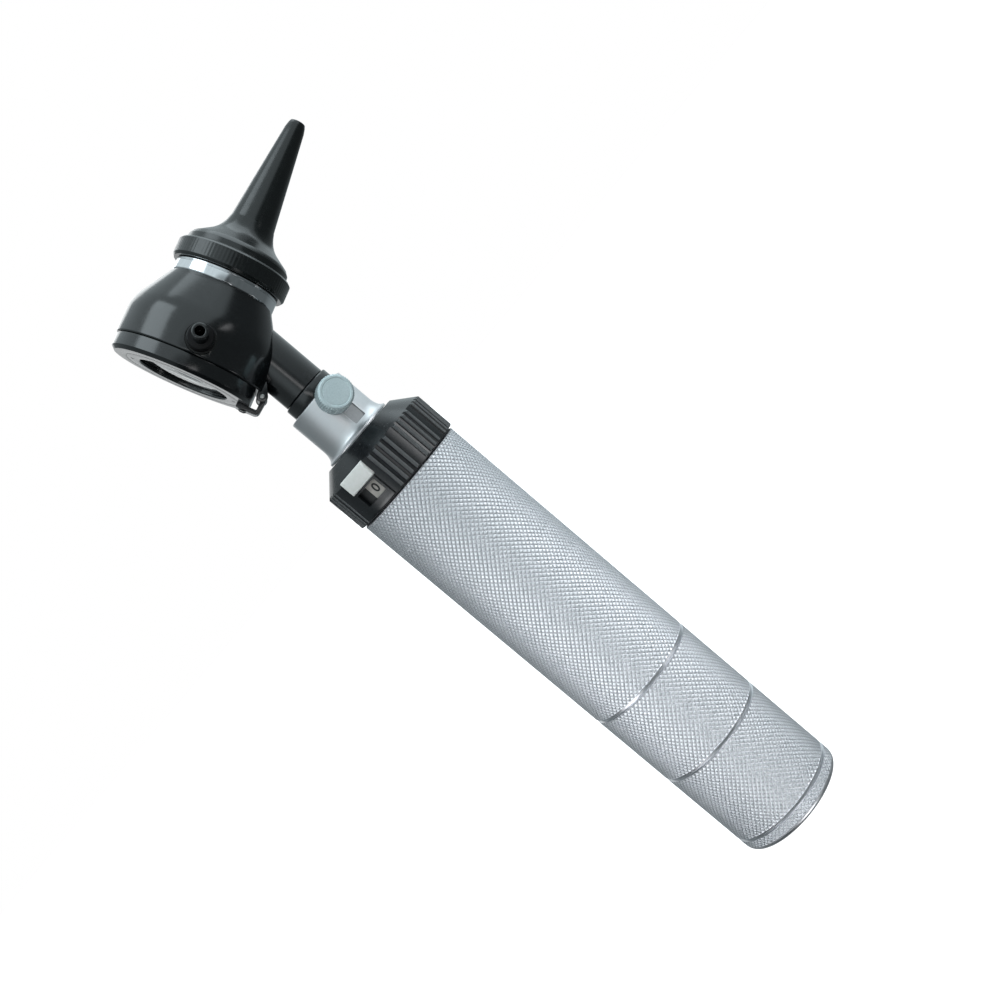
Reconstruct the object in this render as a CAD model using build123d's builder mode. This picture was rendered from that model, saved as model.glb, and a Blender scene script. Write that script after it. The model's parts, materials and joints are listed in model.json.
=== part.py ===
from build123d import *
import math
import os

# Pocket otoscope on a two-cell battery handle, in millimetres.
# The handle stands on its end cap at the origin, with +Z along the handle.
# The speculum points to +X and rises a little; the viewing lens faces -X.
# Azimuths round the handle are counted in degrees from -Y towards +X.

# --- handle -----------------------------------------------------------------
TUBE_R = 15.0
CELL_BORE_R = 13.35
TUBE_TOP = 119.0
CAP_SEAM = 26.8
CAP_FLOOR = 2.5
CAP_EDGE_ROUND = 1.5
CAP_THREAD_R = 14.16
SPIGOT_R = 14.10
SPIGOT_LENGTH = 8.0
GROOVE_DEPTH = 0.35
GROOVE_WIDTH = 1.0
CAP_GROOVE_Z = 4.3
TUBE_GROOVE_Z = 48.5

CELL_R = 13.0
CELL_LENGTH = 50.0
CELL_NUB_R = 3.3
CELL_NUB_HEIGHT = 2.0
LOWER_CELL_Z = 11.5
SPRING_R = 9.0
SPRING_WIRE_R = 0.6

# --- switch collar and neck -------------------------------------------------
SWITCH_BASE_Z = 113.5
HUB_R = 8.6
HUB_BORE_R = 4.5
HUB_BOTTOM = 116.0
COLLAR_BOTTOM = 119.3
COLLAR_SHOULDER = 129.1
COLLAR_TOP = 133.5
COLLAR_R = 15.7
COLLAR_TOP_R = 10.65
COLLAR_BORE_R = 8.68
COLLAR_CAVITY_R = 14.6
COLLAR_CAVITY_TOP = 126.2
RIB_COUNT = 55
RIB_GROUP = 5
RIB_START = 11.0
RIB_GROOVE_R = 0.5
PANEL_AZIMUTHS = (-64.0, -24.0)

BUTTON_AZIMUTH = -37.5
BUTTON_WIDTH = 7.4
BUTTON_HEIGHT = 4.1
BUTTON_Z = 127.8
BUTTON_FACE_R = 16.0
BUTTON_BACK_R = 12.6
BUTTON_TRAVEL = 1.0
WINDOW_AZIMUTH = -38.5
WINDOW_WIDTH = 6.2
WINDOW_HEIGHT = 3.6
WINDOW_Z = 123.4

NECK_R = 8.0
NECK_FLARE_R = 9.3
NECK_TOP = 146.5
SOCKET_R = 6.05
SOCKET_BOTTOM = 137.3
DETENT_BALL_R = 0.9
DETENT_AZIMUTH = 180.0
DETENT_POCKET_R = HUB_BORE_R + 0.9
DETENT_Z = 131.9
DETENT_STEP = 40.0
DETENT_COUNT = 4

# --- clamp screw ------------------------------------------------------------
SCREW_AZIMUTH = 9.0
SCREW_Z = 143.5
KNOB_R = 3.95
KNOB_BACK = 9.3
KNOB_FRONT = 13.6
SHANK_R = 1.5
SHANK_HOLE_R = 1.56
SHANK_TIP = 6.55
PAD_TIP = 6.12

# --- head -------------------------------------------------------------------
HEAD_TILT = 72.97
HEAD_Z = 176.28
STEM_R = 5.85
STEM_TAIL_R = 5.2
STEM_BORE_R = 4.2
SPIGOT_BODY_R = 6.0
FERRULE_R = 6.4
FERRULE_BOTTOM = 137.6
FERRULE_SHOULDER = 146.6
FERRULE_TOP = 149.5
STEM_TOP = 165.6

CASE_R = 17.4
CASE_INNER_R = 15.6
CASE_REAR = -12.8
CASE_LIP_R = 14.1
CASE_LIP_DEPTH = 1.4
CASE_FRONT = 5.0
CASE_FRONT_R = 12.0
SEAT_HOLE_R = 8.5
RING_FRONT = 8.06
RING_R = 12.0
VIEW_BORE_R = 7.0

PLATE_R = 17.1
PLATE_FRONT = -12.87
PLATE_REAR = -16.65
PLATE_FLAT = -15.7
LENS_VIEW_R = 10.3
LENS_R = 10.2
LENS_LIP_R = 9.4
LENS_RING_R = 13.5
LENS_RING_DEPTH = 1.15

HINGE_S = -13.5
HINGE_P = -17.5
HINGE_PIN_R = 0.55
EAR_R = 1.3
EAR_INNER_Y = 2.6
EAR_OUTER_Y = 3.9
STRAP_HALF_WIDTH = 2.5
STRAP_THICKNESS = 0.95
STRAP_REAR = -17.7
STRAP_TIP_P = -12.9

PORT_S = -9.05
PORT_P = -1.4
PORT_BOSS_R = 3.0
PORT_TUBE_R = 1.8
PORT_BORE_R = 1.05
PORT_TIP_Y = -26.3

HEAD_DIR = Vector(math.sin(math.radians(HEAD_TILT)), 0, math.cos(math.radians(HEAD_TILT)))
HEAD_ORIGIN = Vector(0, 0, HEAD_Z)
HEAD_AXIS = Axis(HEAD_ORIGIN, HEAD_DIR)
# In this plane x runs along the head's axis towards the tip (station s),
# and y runs across it, away from the handle (height p).
HEAD_PLANE = Plane(origin=HEAD_ORIGIN, x_dir=HEAD_DIR, z_dir=(0, -1, 0))

os.makedirs("parts", exist_ok=True)


def save(piece, name):
    piece.part.label = name
    export_step(piece.part, f"parts/{name}.step")


def turned(profile, plane=Plane.XZ, axis=Axis.Z):
    """A solid of revolution from (radius, height) points on the handle,
    or from (station, radius) points on the head."""
    with BuildPart() as piece:
        with BuildSketch(plane):
            with BuildLine():
                Polyline(*profile, close=True)
            make_face()
        revolve(axis=axis)
    return piece


def head_turned(profile):
    return turned(profile, HEAD_PLANE, HEAD_AXIS)


def outward(azimuth):
    angle = math.radians(azimuth)
    return Vector(math.sin(angle), -math.cos(angle), 0)


def radial_plane(azimuth, radius, height):
    """A plane facing out of the handle: x is tangential and y is up."""
    direction = outward(azimuth)
    tangent = Vector(-direction.Y, direction.X, 0)
    return Plane(direction * radius + Vector(0, 0, height), x_dir=tangent, z_dir=direction)


def hinge_plane(y):
    """The head's plane moved to the given y, facing -Y."""
    return Plane(HEAD_ORIGIN + Vector(0, y, 0), x_dir=HEAD_DIR, z_dir=(0, -1, 0))


def head_station(s):
    """A plane across the head at station s: x is +Y and y is height p."""
    return Plane(HEAD_ORIGIN + HEAD_DIR * s, x_dir=(0, 1, 0), z_dir=HEAD_DIR)


def coil(start, direction, radius, height, turns, wire_r):
    with BuildPart() as piece:
        with BuildLine() as path:
            Helix(height / turns, height, radius, start, direction)
        with BuildSketch(Plane(origin=path.line @ 0, z_dir=path.line % 0)):
            Circle(wire_r)
        sweep(is_frenet=True)
    return piece


# --- battery handle ---------------------------------------------------------
def groove_notch(height):
    """Corner points of a shallow V groove turned into the tube's wall."""
    half = GROOVE_WIDTH / 2
    flat = half / 2
    return [
        (TUBE_R, height - half),
        (TUBE_R - GROOVE_DEPTH, height - flat),
        (TUBE_R - GROOVE_DEPTH, height + flat),
        (TUBE_R, height + half),
    ]


# At the seam each part's edge is cut back by half a groove.
SEAM_BACK = GROOVE_WIDTH / 2
handle_tube = turned([
    (CELL_BORE_R, CAP_SEAM - SPIGOT_LENGTH),
    (SPIGOT_R, CAP_SEAM - SPIGOT_LENGTH),
    (SPIGOT_R, CAP_SEAM),
    (TUBE_R - GROOVE_DEPTH, CAP_SEAM),
    (TUBE_R, CAP_SEAM + SEAM_BACK),
    *groove_notch(TUBE_GROOVE_Z),
    (TUBE_R, TUBE_TOP),
    (CELL_BORE_R, TUBE_TOP),
])
save(handle_tube, "handle_tube")

CAP_END_GAP = 0.4
CAP_SEAM_GAP = 0.05
cap_shoulder = CAP_SEAM - SPIGOT_LENGTH - CAP_END_GAP
cap_top = CAP_SEAM - CAP_SEAM_GAP
with BuildPart() as end_cap:
    with BuildSketch(Plane.XZ):
        with BuildLine():
            Polyline(
                (0, 0),
                (TUBE_R, 0),
                *groove_notch(CAP_GROOVE_Z),
                (TUBE_R, cap_top - SEAM_BACK),
                (TUBE_R - GROOVE_DEPTH, cap_top),
                (CAP_THREAD_R, cap_top),
                (CAP_THREAD_R, cap_shoulder),
                (CELL_BORE_R, cap_shoulder),
                (CELL_BORE_R, CAP_FLOOR),
                (0, CAP_FLOOR),
                close=True,
            )
        make_face()
    revolve(axis=Axis.Z)
    rim = end_cap.edges().filter_by(GeomType.CIRCLE).group_by(Axis.Z)[0]
    fillet(rim, CAP_EDGE_ROUND)
save(end_cap, "end_cap")

SPRING_TURNS = 4
SPRING_END_GAP = 0.02
SPRING_CELL_GAP = 0.15
spring_base = CAP_FLOOR + SPRING_WIRE_R + SPRING_END_GAP
spring_height = LOWER_CELL_Z - SPRING_WIRE_R - SPRING_CELL_GAP - spring_base
battery_spring = coil((0, 0, spring_base), (0, 0, 1), SPRING_R, spring_height, SPRING_TURNS, SPRING_WIRE_R)
save(battery_spring, "battery_spring")


def battery_cell(bottom):
    shoulder = bottom + CELL_LENGTH - CELL_NUB_HEIGHT
    return turned([
        (0, bottom),
        (CELL_R - 0.8, bottom),
        (CELL_R, bottom + 0.8),
        (CELL_R, shoulder - 1.0),
        (CELL_R - 1.0, shoulder),
        (CELL_NUB_R, shoulder),
        (CELL_NUB_R, bottom + CELL_LENGTH),
        (0, bottom + CELL_LENGTH),
    ])


upper_cell_z = LOWER_CELL_Z + CELL_LENGTH
cell_stack_top = upper_cell_z + CELL_LENGTH
save(battery_cell(LOWER_CELL_Z), "battery_lower")
save(battery_cell(upper_cell_z), "battery_upper")

# --- switch -----------------------------------------------------------------
CONTACT_FLANGE_R = 6.0
CONTACT_STEM_R = 2.5
CONTACT_RECESS = 1.2
SLEEVE_BORE_R = 2.6
track_z = TUBE_TOP - 0.3
switch_base = turned([
    (CONTACT_FLANGE_R, SWITCH_BASE_Z - CONTACT_RECESS),
    (CELL_BORE_R, SWITCH_BASE_Z - CONTACT_RECESS),
    (CELL_BORE_R, track_z),
    (HUB_R, track_z),
    (HUB_R, HUB_BOTTOM),
    (CONTACT_STEM_R, HUB_BOTTOM),
    (CONTACT_STEM_R, SWITCH_BASE_Z),
    (CONTACT_FLANGE_R, SWITCH_BASE_Z),
])
save(switch_base, "switch_base")

battery_contact = turned([
    (0, cell_stack_top),
    (CONTACT_FLANGE_R - 1.0, cell_stack_top),
    (CONTACT_FLANGE_R, cell_stack_top + 0.8),
    (CONTACT_FLANGE_R, SWITCH_BASE_Z),
    (CONTACT_STEM_R, SWITCH_BASE_Z),
    (CONTACT_STEM_R, HUB_BOTTOM),
    (0, HUB_BOTTOM),
])
save(battery_contact, "battery_contact")

TRACK_INNER_R = 9.4
TRACK_OUTER_R = 12.2
TRACK_THICKNESS = 0.8
TRACK_GAP_ANGLE = 80
with BuildPart() as rheostat_track:
    with BuildSketch(Plane.XY.offset(track_z)):
        Circle(TRACK_OUTER_R)
        Circle(TRACK_INNER_R, mode=Mode.SUBTRACT)
        with BuildLine():
            half_gap = math.radians(TRACK_GAP_ANGLE / 2)
            reach = TRACK_OUTER_R * 2
            Polyline(
                (0, 0),
                (reach * math.cos(half_gap), reach * math.sin(half_gap)),
                (reach * math.cos(half_gap), -reach * math.sin(half_gap)),
                close=True,
            )
        make_face(mode=Mode.SUBTRACT)
    extrude(amount=TRACK_THICKNESS)
save(rheostat_track, "rheostat_track")

SCALE_INNER_R = 12.7
SCALE_OUTER_R = 14.5
SCALE_TOP = 125.3
scale_ring = turned([
    (SCALE_INNER_R, TUBE_TOP),
    (SCALE_OUTER_R, TUBE_TOP),
    (SCALE_OUTER_R, SCALE_TOP),
    (SCALE_INNER_R, SCALE_TOP),
])
save(scale_ring, "scale_ring")

# --- neck, with the clamp screw's boss --------------------------------------
BOSS_R = 2.7
BOSS_FACE = 8.95
SLOT_AZIMUTH = 16.0
SLOT_WIDTH = 3.4
SLOT_FLOOR_R = 7.55
SLOT_BOTTOM = 135.7
SLOT_TOP = 141.5
FLARE_LIP = 0.5
FLARE_RISE = 3.2
NECK_BEVEL = 0.4
BOSS_ROOT_R = SOCKET_R + 0.6
flare_base = COLLAR_TOP + 0.12
flare_out = NECK_FLARE_R - NECK_R
flare_arc_r = (flare_out**2 + (FLARE_RISE - FLARE_LIP) ** 2) / (2 * flare_out)
with BuildPart() as neck_socket:
    with BuildSketch(Plane.XZ):
        with BuildLine():
            Line((HUB_BORE_R, HUB_BOTTOM), (HUB_R, HUB_BOTTOM))
            Line((HUB_R, HUB_BOTTOM), (HUB_R, flare_base))
            Line((HUB_R, flare_base), (NECK_FLARE_R, flare_base))
            Line((NECK_FLARE_R, flare_base), (NECK_FLARE_R, flare_base + FLARE_LIP))
            RadiusArc(
                (NECK_FLARE_R, flare_base + FLARE_LIP),
                (NECK_R, flare_base + FLARE_RISE),
                flare_arc_r,
            )
            Line((NECK_R, flare_base + FLARE_RISE), (NECK_R, NECK_TOP - NECK_BEVEL))
            Line((NECK_R, NECK_TOP - NECK_BEVEL), (NECK_R - NECK_BEVEL, NECK_TOP))
            Line((NECK_R - NECK_BEVEL, NECK_TOP), (SOCKET_R, NECK_TOP))
            Line((SOCKET_R, NECK_TOP), (SOCKET_R, SOCKET_BOTTOM))
            Line((SOCKET_R, SOCKET_BOTTOM), (HUB_BORE_R, SOCKET_BOTTOM))
            Line((HUB_BORE_R, SOCKET_BOTTOM), (HUB_BORE_R, HUB_BOTTOM))
        make_face()
    revolve(axis=Axis.Z)
    with BuildSketch(radial_plane(SCREW_AZIMUTH, BOSS_ROOT_R, SCREW_Z)):
        Circle(BOSS_R)
    extrude(amount=BOSS_FACE - BOSS_ROOT_R)
    with BuildSketch(radial_plane(SCREW_AZIMUTH, 0, SCREW_Z)):
        Circle(SHANK_HOLE_R)
    extrude(amount=TUBE_R, mode=Mode.SUBTRACT)
    with BuildSketch(radial_plane(SLOT_AZIMUTH, SLOT_FLOOR_R, (SLOT_BOTTOM + SLOT_TOP) / 2)):
        Rectangle(SLOT_WIDTH, SLOT_TOP - SLOT_BOTTOM)
    extrude(amount=TUBE_R - SLOT_FLOOR_R, mode=Mode.SUBTRACT)
    # A pocket in the hub for the detent ball and its spring.
    with BuildSketch(radial_plane(DETENT_AZIMUTH, DETENT_POCKET_R, DETENT_Z)):
        Circle(DETENT_BALL_R + 0.05)
    extrude(amount=HUB_R - HUB_BORE_R, mode=Mode.SUBTRACT)
save(neck_socket, "neck_socket")

SLEEVE_STEP = 127.1
PLUNGER_R = 1.5
PLUNGER_GUIDE_R = 1.56
PLUNGER_TIP = 137.5
SLEEVE_TOP = SOCKET_BOTTOM - 0.5
insulator_sleeve = turned([
    (SLEEVE_BORE_R, HUB_BOTTOM),
    (HUB_BORE_R, HUB_BOTTOM),
    (HUB_BORE_R, SLEEVE_TOP),
    (PLUNGER_GUIDE_R, SLEEVE_TOP),
    (PLUNGER_GUIDE_R, SLEEVE_STEP),
    (SLEEVE_BORE_R, SLEEVE_STEP),
])
save(insulator_sleeve, "insulator_sleeve")

PLUNGER_TAIL_R = 1.2
PLUNGER_TAIL = 4.0
PLUNGER_FLANGE = 1.0
PLUNGER_FLANGE_R = SLEEVE_BORE_R - 0.08
PLUNGER_BEVEL = 0.4
plunger_top = SLEEVE_STEP - 0.05
contact_plunger = turned([
    (0, plunger_top - PLUNGER_TAIL),
    (PLUNGER_TAIL_R, plunger_top - PLUNGER_TAIL),
    (PLUNGER_TAIL_R, plunger_top - PLUNGER_FLANGE),
    (PLUNGER_FLANGE_R, plunger_top - PLUNGER_FLANGE),
    (PLUNGER_FLANGE_R, plunger_top),
    (PLUNGER_R, plunger_top),
    (PLUNGER_R, PLUNGER_TIP - PLUNGER_BEVEL),
    (PLUNGER_R - PLUNGER_BEVEL, PLUNGER_TIP),
    (0, PLUNGER_TIP),
])
save(contact_plunger, "contact_plunger")

CONTACT_WIRE_R = 0.25
CONTACT_SPRING_R = 1.9
CONTACT_TURNS = 8
CONTACT_GAP = 0.05
contact_spring_z = HUB_BOTTOM + CONTACT_WIRE_R + CONTACT_GAP
contact_spring_top = plunger_top - PLUNGER_FLANGE - CONTACT_WIRE_R - CONTACT_GAP
contact_spring = coil(
    (0, 0, contact_spring_z),
    (0, 0, 1),
    CONTACT_SPRING_R,
    contact_spring_top - contact_spring_z,
    CONTACT_TURNS,
    CONTACT_WIRE_R,
)
save(contact_spring, "contact_spring")

BALL_PROUD = 0.03
ball_centre = HUB_R - DETENT_BALL_R + BALL_PROUD
with BuildPart() as detent_ball:
    with Locations(outward(DETENT_AZIMUTH) * ball_centre + Vector(0, 0, DETENT_Z)):
        Sphere(DETENT_BALL_R)
save(detent_ball, "detent_ball")

FINE_WIRE_R = 0.15
FINE_TURNS = 3
FINE_GAP = 0.03
DETENT_SPRING_R = 0.6
detent_spring_start = DETENT_POCKET_R + FINE_WIRE_R + FINE_GAP
detent_spring_end = ball_centre - DETENT_BALL_R - FINE_WIRE_R - FINE_GAP
detent_spring = coil(
    outward(DETENT_AZIMUTH) * detent_spring_start + Vector(0, 0, DETENT_Z),
    outward(DETENT_AZIMUTH),
    DETENT_SPRING_R,
    detent_spring_end - detent_spring_start,
    FINE_TURNS,
    FINE_WIRE_R,
)
save(detent_spring, "detent_spring")


# --- rotating collar --------------------------------------------------------
def rib_groove_azimuths():
    """Grooves between even ribs. Every fifth rib is cut away too, and the panel is plain."""
    half_pitch = 180 / RIB_COUNT
    for index in range(2 * RIB_COUNT):
        azimuth = (RIB_START + index * half_pitch + 180) % 360 - 180
        between_ribs = index % 2 == 1
        missing_rib = index % (2 * RIB_GROUP) == 0
        in_panel = PANEL_AZIMUTHS[0] < azimuth < PANEL_AZIMUTHS[1]
        if (between_ribs or missing_rib) and not in_panel:
            yield azimuth


RIB_MARGIN = 0.5
RIB_GROOVE_OFFSET = 0.15
BUTTON_CLEARANCE = 0.1
BUTTON_FLANGE_EXTRA = 1.2
BUTTON_FLANGE_THICKNESS = 1.0
DIMPLE_CLEARANCE = 0.12
pocket_back = BUTTON_BACK_R - BUTTON_TRAVEL - 0.4
with BuildPart() as switch_collar:
    with BuildSketch(Plane.XZ):
        with BuildLine():
            Polyline(
                (COLLAR_CAVITY_R, COLLAR_BOTTOM),
                (COLLAR_R, COLLAR_BOTTOM),
                (COLLAR_R, COLLAR_SHOULDER),
                (COLLAR_TOP_R, COLLAR_TOP),
                (COLLAR_BORE_R, COLLAR_TOP),
                (COLLAR_BORE_R, COLLAR_CAVITY_TOP),
                (COLLAR_CAVITY_R, COLLAR_CAVITY_TOP),
                close=True,
            )
        make_face()
    revolve(axis=Axis.Z)
    with BuildSketch(Plane.XY.offset(COLLAR_BOTTOM)):
        for azimuth in rib_groove_azimuths():
            with Locations(outward(azimuth) * (COLLAR_R + RIB_GROOVE_OFFSET)):
                Circle(RIB_GROOVE_R)
    extrude(amount=COLLAR_SHOULDER - COLLAR_BOTTOM + RIB_MARGIN, mode=Mode.SUBTRACT)
    # The button's opening, with a wider pocket behind it for its flange.
    with BuildSketch(radial_plane(BUTTON_AZIMUTH, pocket_back, BUTTON_Z)):
        Rectangle(BUTTON_WIDTH + 2 * BUTTON_CLEARANCE, BUTTON_HEIGHT + 2 * BUTTON_CLEARANCE)
    extrude(amount=COLLAR_R, mode=Mode.SUBTRACT)
    flange_room = BUTTON_WIDTH + BUTTON_FLANGE_EXTRA + 2 * BUTTON_CLEARANCE
    flange_stop = BUTTON_BACK_R + BUTTON_FLANGE_THICKNESS + 0.02
    with BuildSketch(radial_plane(BUTTON_AZIMUTH, pocket_back, BUTTON_Z)):
        Rectangle(flange_room, BUTTON_HEIGHT + 2 * BUTTON_CLEARANCE)
    extrude(amount=flange_stop - pocket_back, mode=Mode.SUBTRACT)
    with BuildSketch(radial_plane(WINDOW_AZIMUTH, SCALE_INNER_R, WINDOW_Z)):
        Rectangle(WINDOW_WIDTH, WINDOW_HEIGHT)
    extrude(amount=COLLAR_R, mode=Mode.SUBTRACT)
    with Locations(*[
        outward(DETENT_AZIMUTH - index * DETENT_STEP) * ball_centre + Vector(0, 0, DETENT_Z)
        for index in range(DETENT_COUNT)
    ]):
        Sphere(DETENT_BALL_R + DIMPLE_CLEARANCE, mode=Mode.SUBTRACT)
save(switch_collar, "switch_collar")

with BuildPart() as lock_button:
    with BuildSketch(radial_plane(BUTTON_AZIMUTH, BUTTON_BACK_R, BUTTON_Z)):
        Rectangle(BUTTON_WIDTH, BUTTON_HEIGHT)
    extrude(amount=BUTTON_FACE_R - BUTTON_BACK_R)
    face_edges = lock_button.faces().sort_by(Axis((0, 0, 0), outward(BUTTON_AZIMUTH)))[-1].edges()
    fillet(face_edges, 0.35)
    with BuildSketch(radial_plane(BUTTON_AZIMUTH, BUTTON_BACK_R, BUTTON_Z)):
        Rectangle(BUTTON_WIDTH + BUTTON_FLANGE_EXTRA, BUTTON_HEIGHT)
    extrude(amount=BUTTON_FLANGE_THICKNESS)
save(lock_button, "lock_button")

BUTTON_SPRING_R = 1.3
button_spring_start = pocket_back + FINE_WIRE_R + FINE_GAP
button_spring_end = BUTTON_BACK_R - FINE_WIRE_R - FINE_GAP
button_spring = coil(
    outward(BUTTON_AZIMUTH) * button_spring_start + Vector(0, 0, BUTTON_Z),
    outward(BUTTON_AZIMUTH),
    BUTTON_SPRING_R,
    button_spring_end - button_spring_start,
    FINE_TURNS,
    FINE_WIRE_R,
)
save(button_spring, "button_spring")

# A bent strip under the collar's roof, whose foot sweeps the resistance track.
WIPER_AZIMUTH = 150.0
WIPER_R = 10.8
WIPER_WIDTH = 1.6
wiper_foot = track_z + TRACK_THICKNESS + 0.05
with BuildPart() as wiper:
    with BuildSketch(radial_plane(WIPER_AZIMUTH, WIPER_R - WIPER_WIDTH / 2, 0)):
        with BuildLine():
            Polyline(
                (-2.2, COLLAR_CAVITY_TOP),
                (-2.2, COLLAR_CAVITY_TOP - 0.4),
                (-0.2, COLLAR_CAVITY_TOP - 0.4),
                (2.2, wiper_foot + 0.5),
                (2.2, wiper_foot),
                (2.7, wiper_foot),
                (2.7, wiper_foot + 0.6),
                (0.2, COLLAR_CAVITY_TOP),
                close=True,
            )
        make_face()
    extrude(amount=WIPER_WIDTH)
save(wiper, "wiper")

# --- clamp screw ------------------------------------------------------------
KNOB_FACE_RIM = 0.5
KNOB_BACK_RIM = 0.4
SHANK_ROOT = 0.2
with BuildPart() as thumb_screw:
    with BuildSketch(radial_plane(SCREW_AZIMUTH, KNOB_BACK, SCREW_Z)):
        Circle(KNOB_R)
    extrude(amount=KNOB_FRONT - KNOB_BACK)
    screw_axis = Axis(Vector(0, 0, SCREW_Z), outward(SCREW_AZIMUTH))
    chamfer(thumb_screw.faces().sort_by(screw_axis)[-1].edges(), KNOB_FACE_RIM)
    chamfer(thumb_screw.faces().sort_by(screw_axis)[0].edges(), KNOB_BACK_RIM)
    with BuildSketch(radial_plane(SCREW_AZIMUTH, SHANK_TIP, SCREW_Z)):
        Circle(SHANK_R)
    extrude(amount=KNOB_BACK - SHANK_TIP + SHANK_ROOT)
save(thumb_screw, "thumb_screw")

with BuildPart() as screw_pad:
    with BuildSketch(radial_plane(SCREW_AZIMUTH, PAD_TIP, SCREW_Z)):
        Circle(SHANK_R - 0.02)
    extrude(amount=SHANK_TIP - 0.03 - PAD_TIP)
save(screw_pad, "screw_pad")

# --- stem and lamp ----------------------------------------------------------
TAIL_BOTTOM = 141.0
stem_ferrule = turned([
    (STEM_BORE_R, FERRULE_BOTTOM + 0.4),
    (STEM_BORE_R + 0.4, FERRULE_BOTTOM),
    (SPIGOT_BODY_R - 0.4, FERRULE_BOTTOM),
    (SPIGOT_BODY_R, FERRULE_BOTTOM + 0.4),
    (SPIGOT_BODY_R, FERRULE_SHOULDER),
    (FERRULE_R, FERRULE_SHOULDER),
    (FERRULE_R, FERRULE_TOP - 0.4),
    (FERRULE_R - 0.4, FERRULE_TOP),
    (STEM_TAIL_R, FERRULE_TOP),
    (STEM_TAIL_R, TAIL_BOTTOM),
    (STEM_BORE_R, TAIL_BOTTOM),
])
save(stem_ferrule, "stem_ferrule")

CONE_SLOPE = math.tan(math.radians(30))
CONE_START = 4.3
CONE_START_R = 12.3
CONE_END = -3.4
CAVITY_CONE_END = -5.4
CAVITY_FRONT = 3.2
cone_end_r = CONE_START_R + CONE_SLOPE * (CONE_START - CONE_END)
cavity_front_r = CASE_INNER_R - CONE_SLOPE * (CAVITY_FRONT - CAVITY_CONE_END)


def head_cavity():
    """The room inside the casing, open at the rear."""
    return head_turned([
        (CASE_REAR - 0.5, 0),
        (CASE_REAR - 0.5, CASE_LIP_R),
        (CASE_REAR + CASE_LIP_DEPTH, CASE_LIP_R),
        (CASE_REAR + CASE_LIP_DEPTH + CASE_INNER_R - CASE_LIP_R, CASE_INNER_R),
        (CAVITY_CONE_END, CASE_INNER_R),
        (CAVITY_FRONT, cavity_front_r),
        (CAVITY_FRONT, 0),
    ])


cavity = head_cavity()
with BuildPart() as stem_tube:
    with BuildSketch(Plane.XZ):
        with BuildLine():
            Polyline(
                (STEM_BORE_R, TAIL_BOTTOM),
                (STEM_TAIL_R, TAIL_BOTTOM),
                (STEM_TAIL_R, FERRULE_TOP),
                (STEM_R, FERRULE_TOP),
                (STEM_R, STEM_TOP),
                (STEM_BORE_R, STEM_TOP),
                close=True,
            )
        make_face()
    revolve(axis=Axis.Z)
    add(cavity.part, mode=Mode.SUBTRACT)
save(stem_tube, "stem_tube")

LAMP_BASE_BOTTOM = 139.4
LAMP_BASE_TOP = 146.0
BULB_R = 2.2
BULB_SEAT = 143.0
BULB_TOP = 150.0
lamp_base = turned([
    (0, LAMP_BASE_BOTTOM),
    (STEM_BORE_R, LAMP_BASE_BOTTOM),
    (STEM_BORE_R, LAMP_BASE_TOP),
    (BULB_R, LAMP_BASE_TOP),
    (BULB_R, BULB_SEAT),
    (0, BULB_SEAT),
])
save(lamp_base, "lamp_base")

with BuildPart() as lamp_bulb:
    with BuildSketch(Plane.XZ):
        with BuildLine():
            Line((0, BULB_SEAT), (BULB_R, BULB_SEAT))
            Line((BULB_R, BULB_SEAT), (BULB_R, BULB_TOP - BULB_R))
            RadiusArc((BULB_R, BULB_TOP - BULB_R), (0, BULB_TOP), -BULB_R)
            Line((0, BULB_TOP), (0, BULB_SEAT))
        make_face()
    revolve(axis=Axis.Z)
save(lamp_bulb, "lamp_bulb")

lamp_insulator = turned([
    (0, FERRULE_BOTTOM + 0.9),
    (3.0, FERRULE_BOTTOM + 0.9),
    (3.0, LAMP_BASE_BOTTOM),
    (0, LAMP_BASE_BOTTOM),
])
save(lamp_insulator, "lamp_insulator")

lamp_contact = turned([
    (0, PLUNGER_TIP + 0.05),
    (0.9, PLUNGER_TIP + 0.05),
    (1.3, PLUNGER_TIP + 0.45),
    (1.3, FERRULE_BOTTOM + 0.9),
    (0, FERRULE_BOTTOM + 0.9),
])
save(lamp_contact, "lamp_contact")

# The fibre light guide runs from the lamp along the casing's floor to the seat.
GUIDE_R = 1.1
GUIDE_BOTTOM = 150.6
GUIDE_TOP = 165.0
GUIDE_P = -5.6
GUIDE_BEND_S = 1.0
GUIDE_END_S = 13.8
GUIDE_BEND_R = 5.0
guide_points = [
    Vector(0, 0, GUIDE_BOTTOM),
    Vector(0, 0, GUIDE_TOP),
    HEAD_PLANE.from_local_coords(Vector(GUIDE_BEND_S, GUIDE_P, 0)),
    HEAD_PLANE.from_local_coords(Vector(GUIDE_END_S, GUIDE_P, 0)),
]
with BuildPart() as light_guide:
    with BuildLine():
        FilletPolyline(*guide_points, radius=GUIDE_BEND_R)
    with BuildSketch(Plane.XY.offset(GUIDE_BOTTOM)):
        Circle(GUIDE_R)
    sweep()
save(light_guide, "light_guide")

guide_holder = turned([
    (GUIDE_R, GUIDE_BOTTOM + 0.1),
    (STEM_BORE_R, GUIDE_BOTTOM + 0.1),
    (STEM_BORE_R, GUIDE_BOTTOM + 4.0),
    (GUIDE_R, GUIDE_BOTTOM + 4.0),
])
save(guide_holder, "guide_holder")

# --- casing -----------------------------------------------------------------
SEAL_GROOVE_INNER = 14.5
SEAL_GROOVE_OUTER = 15.3
SEAL_DEPTH = 0.8
PORT_FACE_Y = -16.9
PORT_FACE_R = 3.5
PORT_FACE_CUT = 3.0
PORT_STUB_R = 2.0
KNUCKLE_ROOM = 0.25
port_axis_point = HEAD_PLANE.from_local_coords(Vector(PORT_S, PORT_P, 0))


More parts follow.
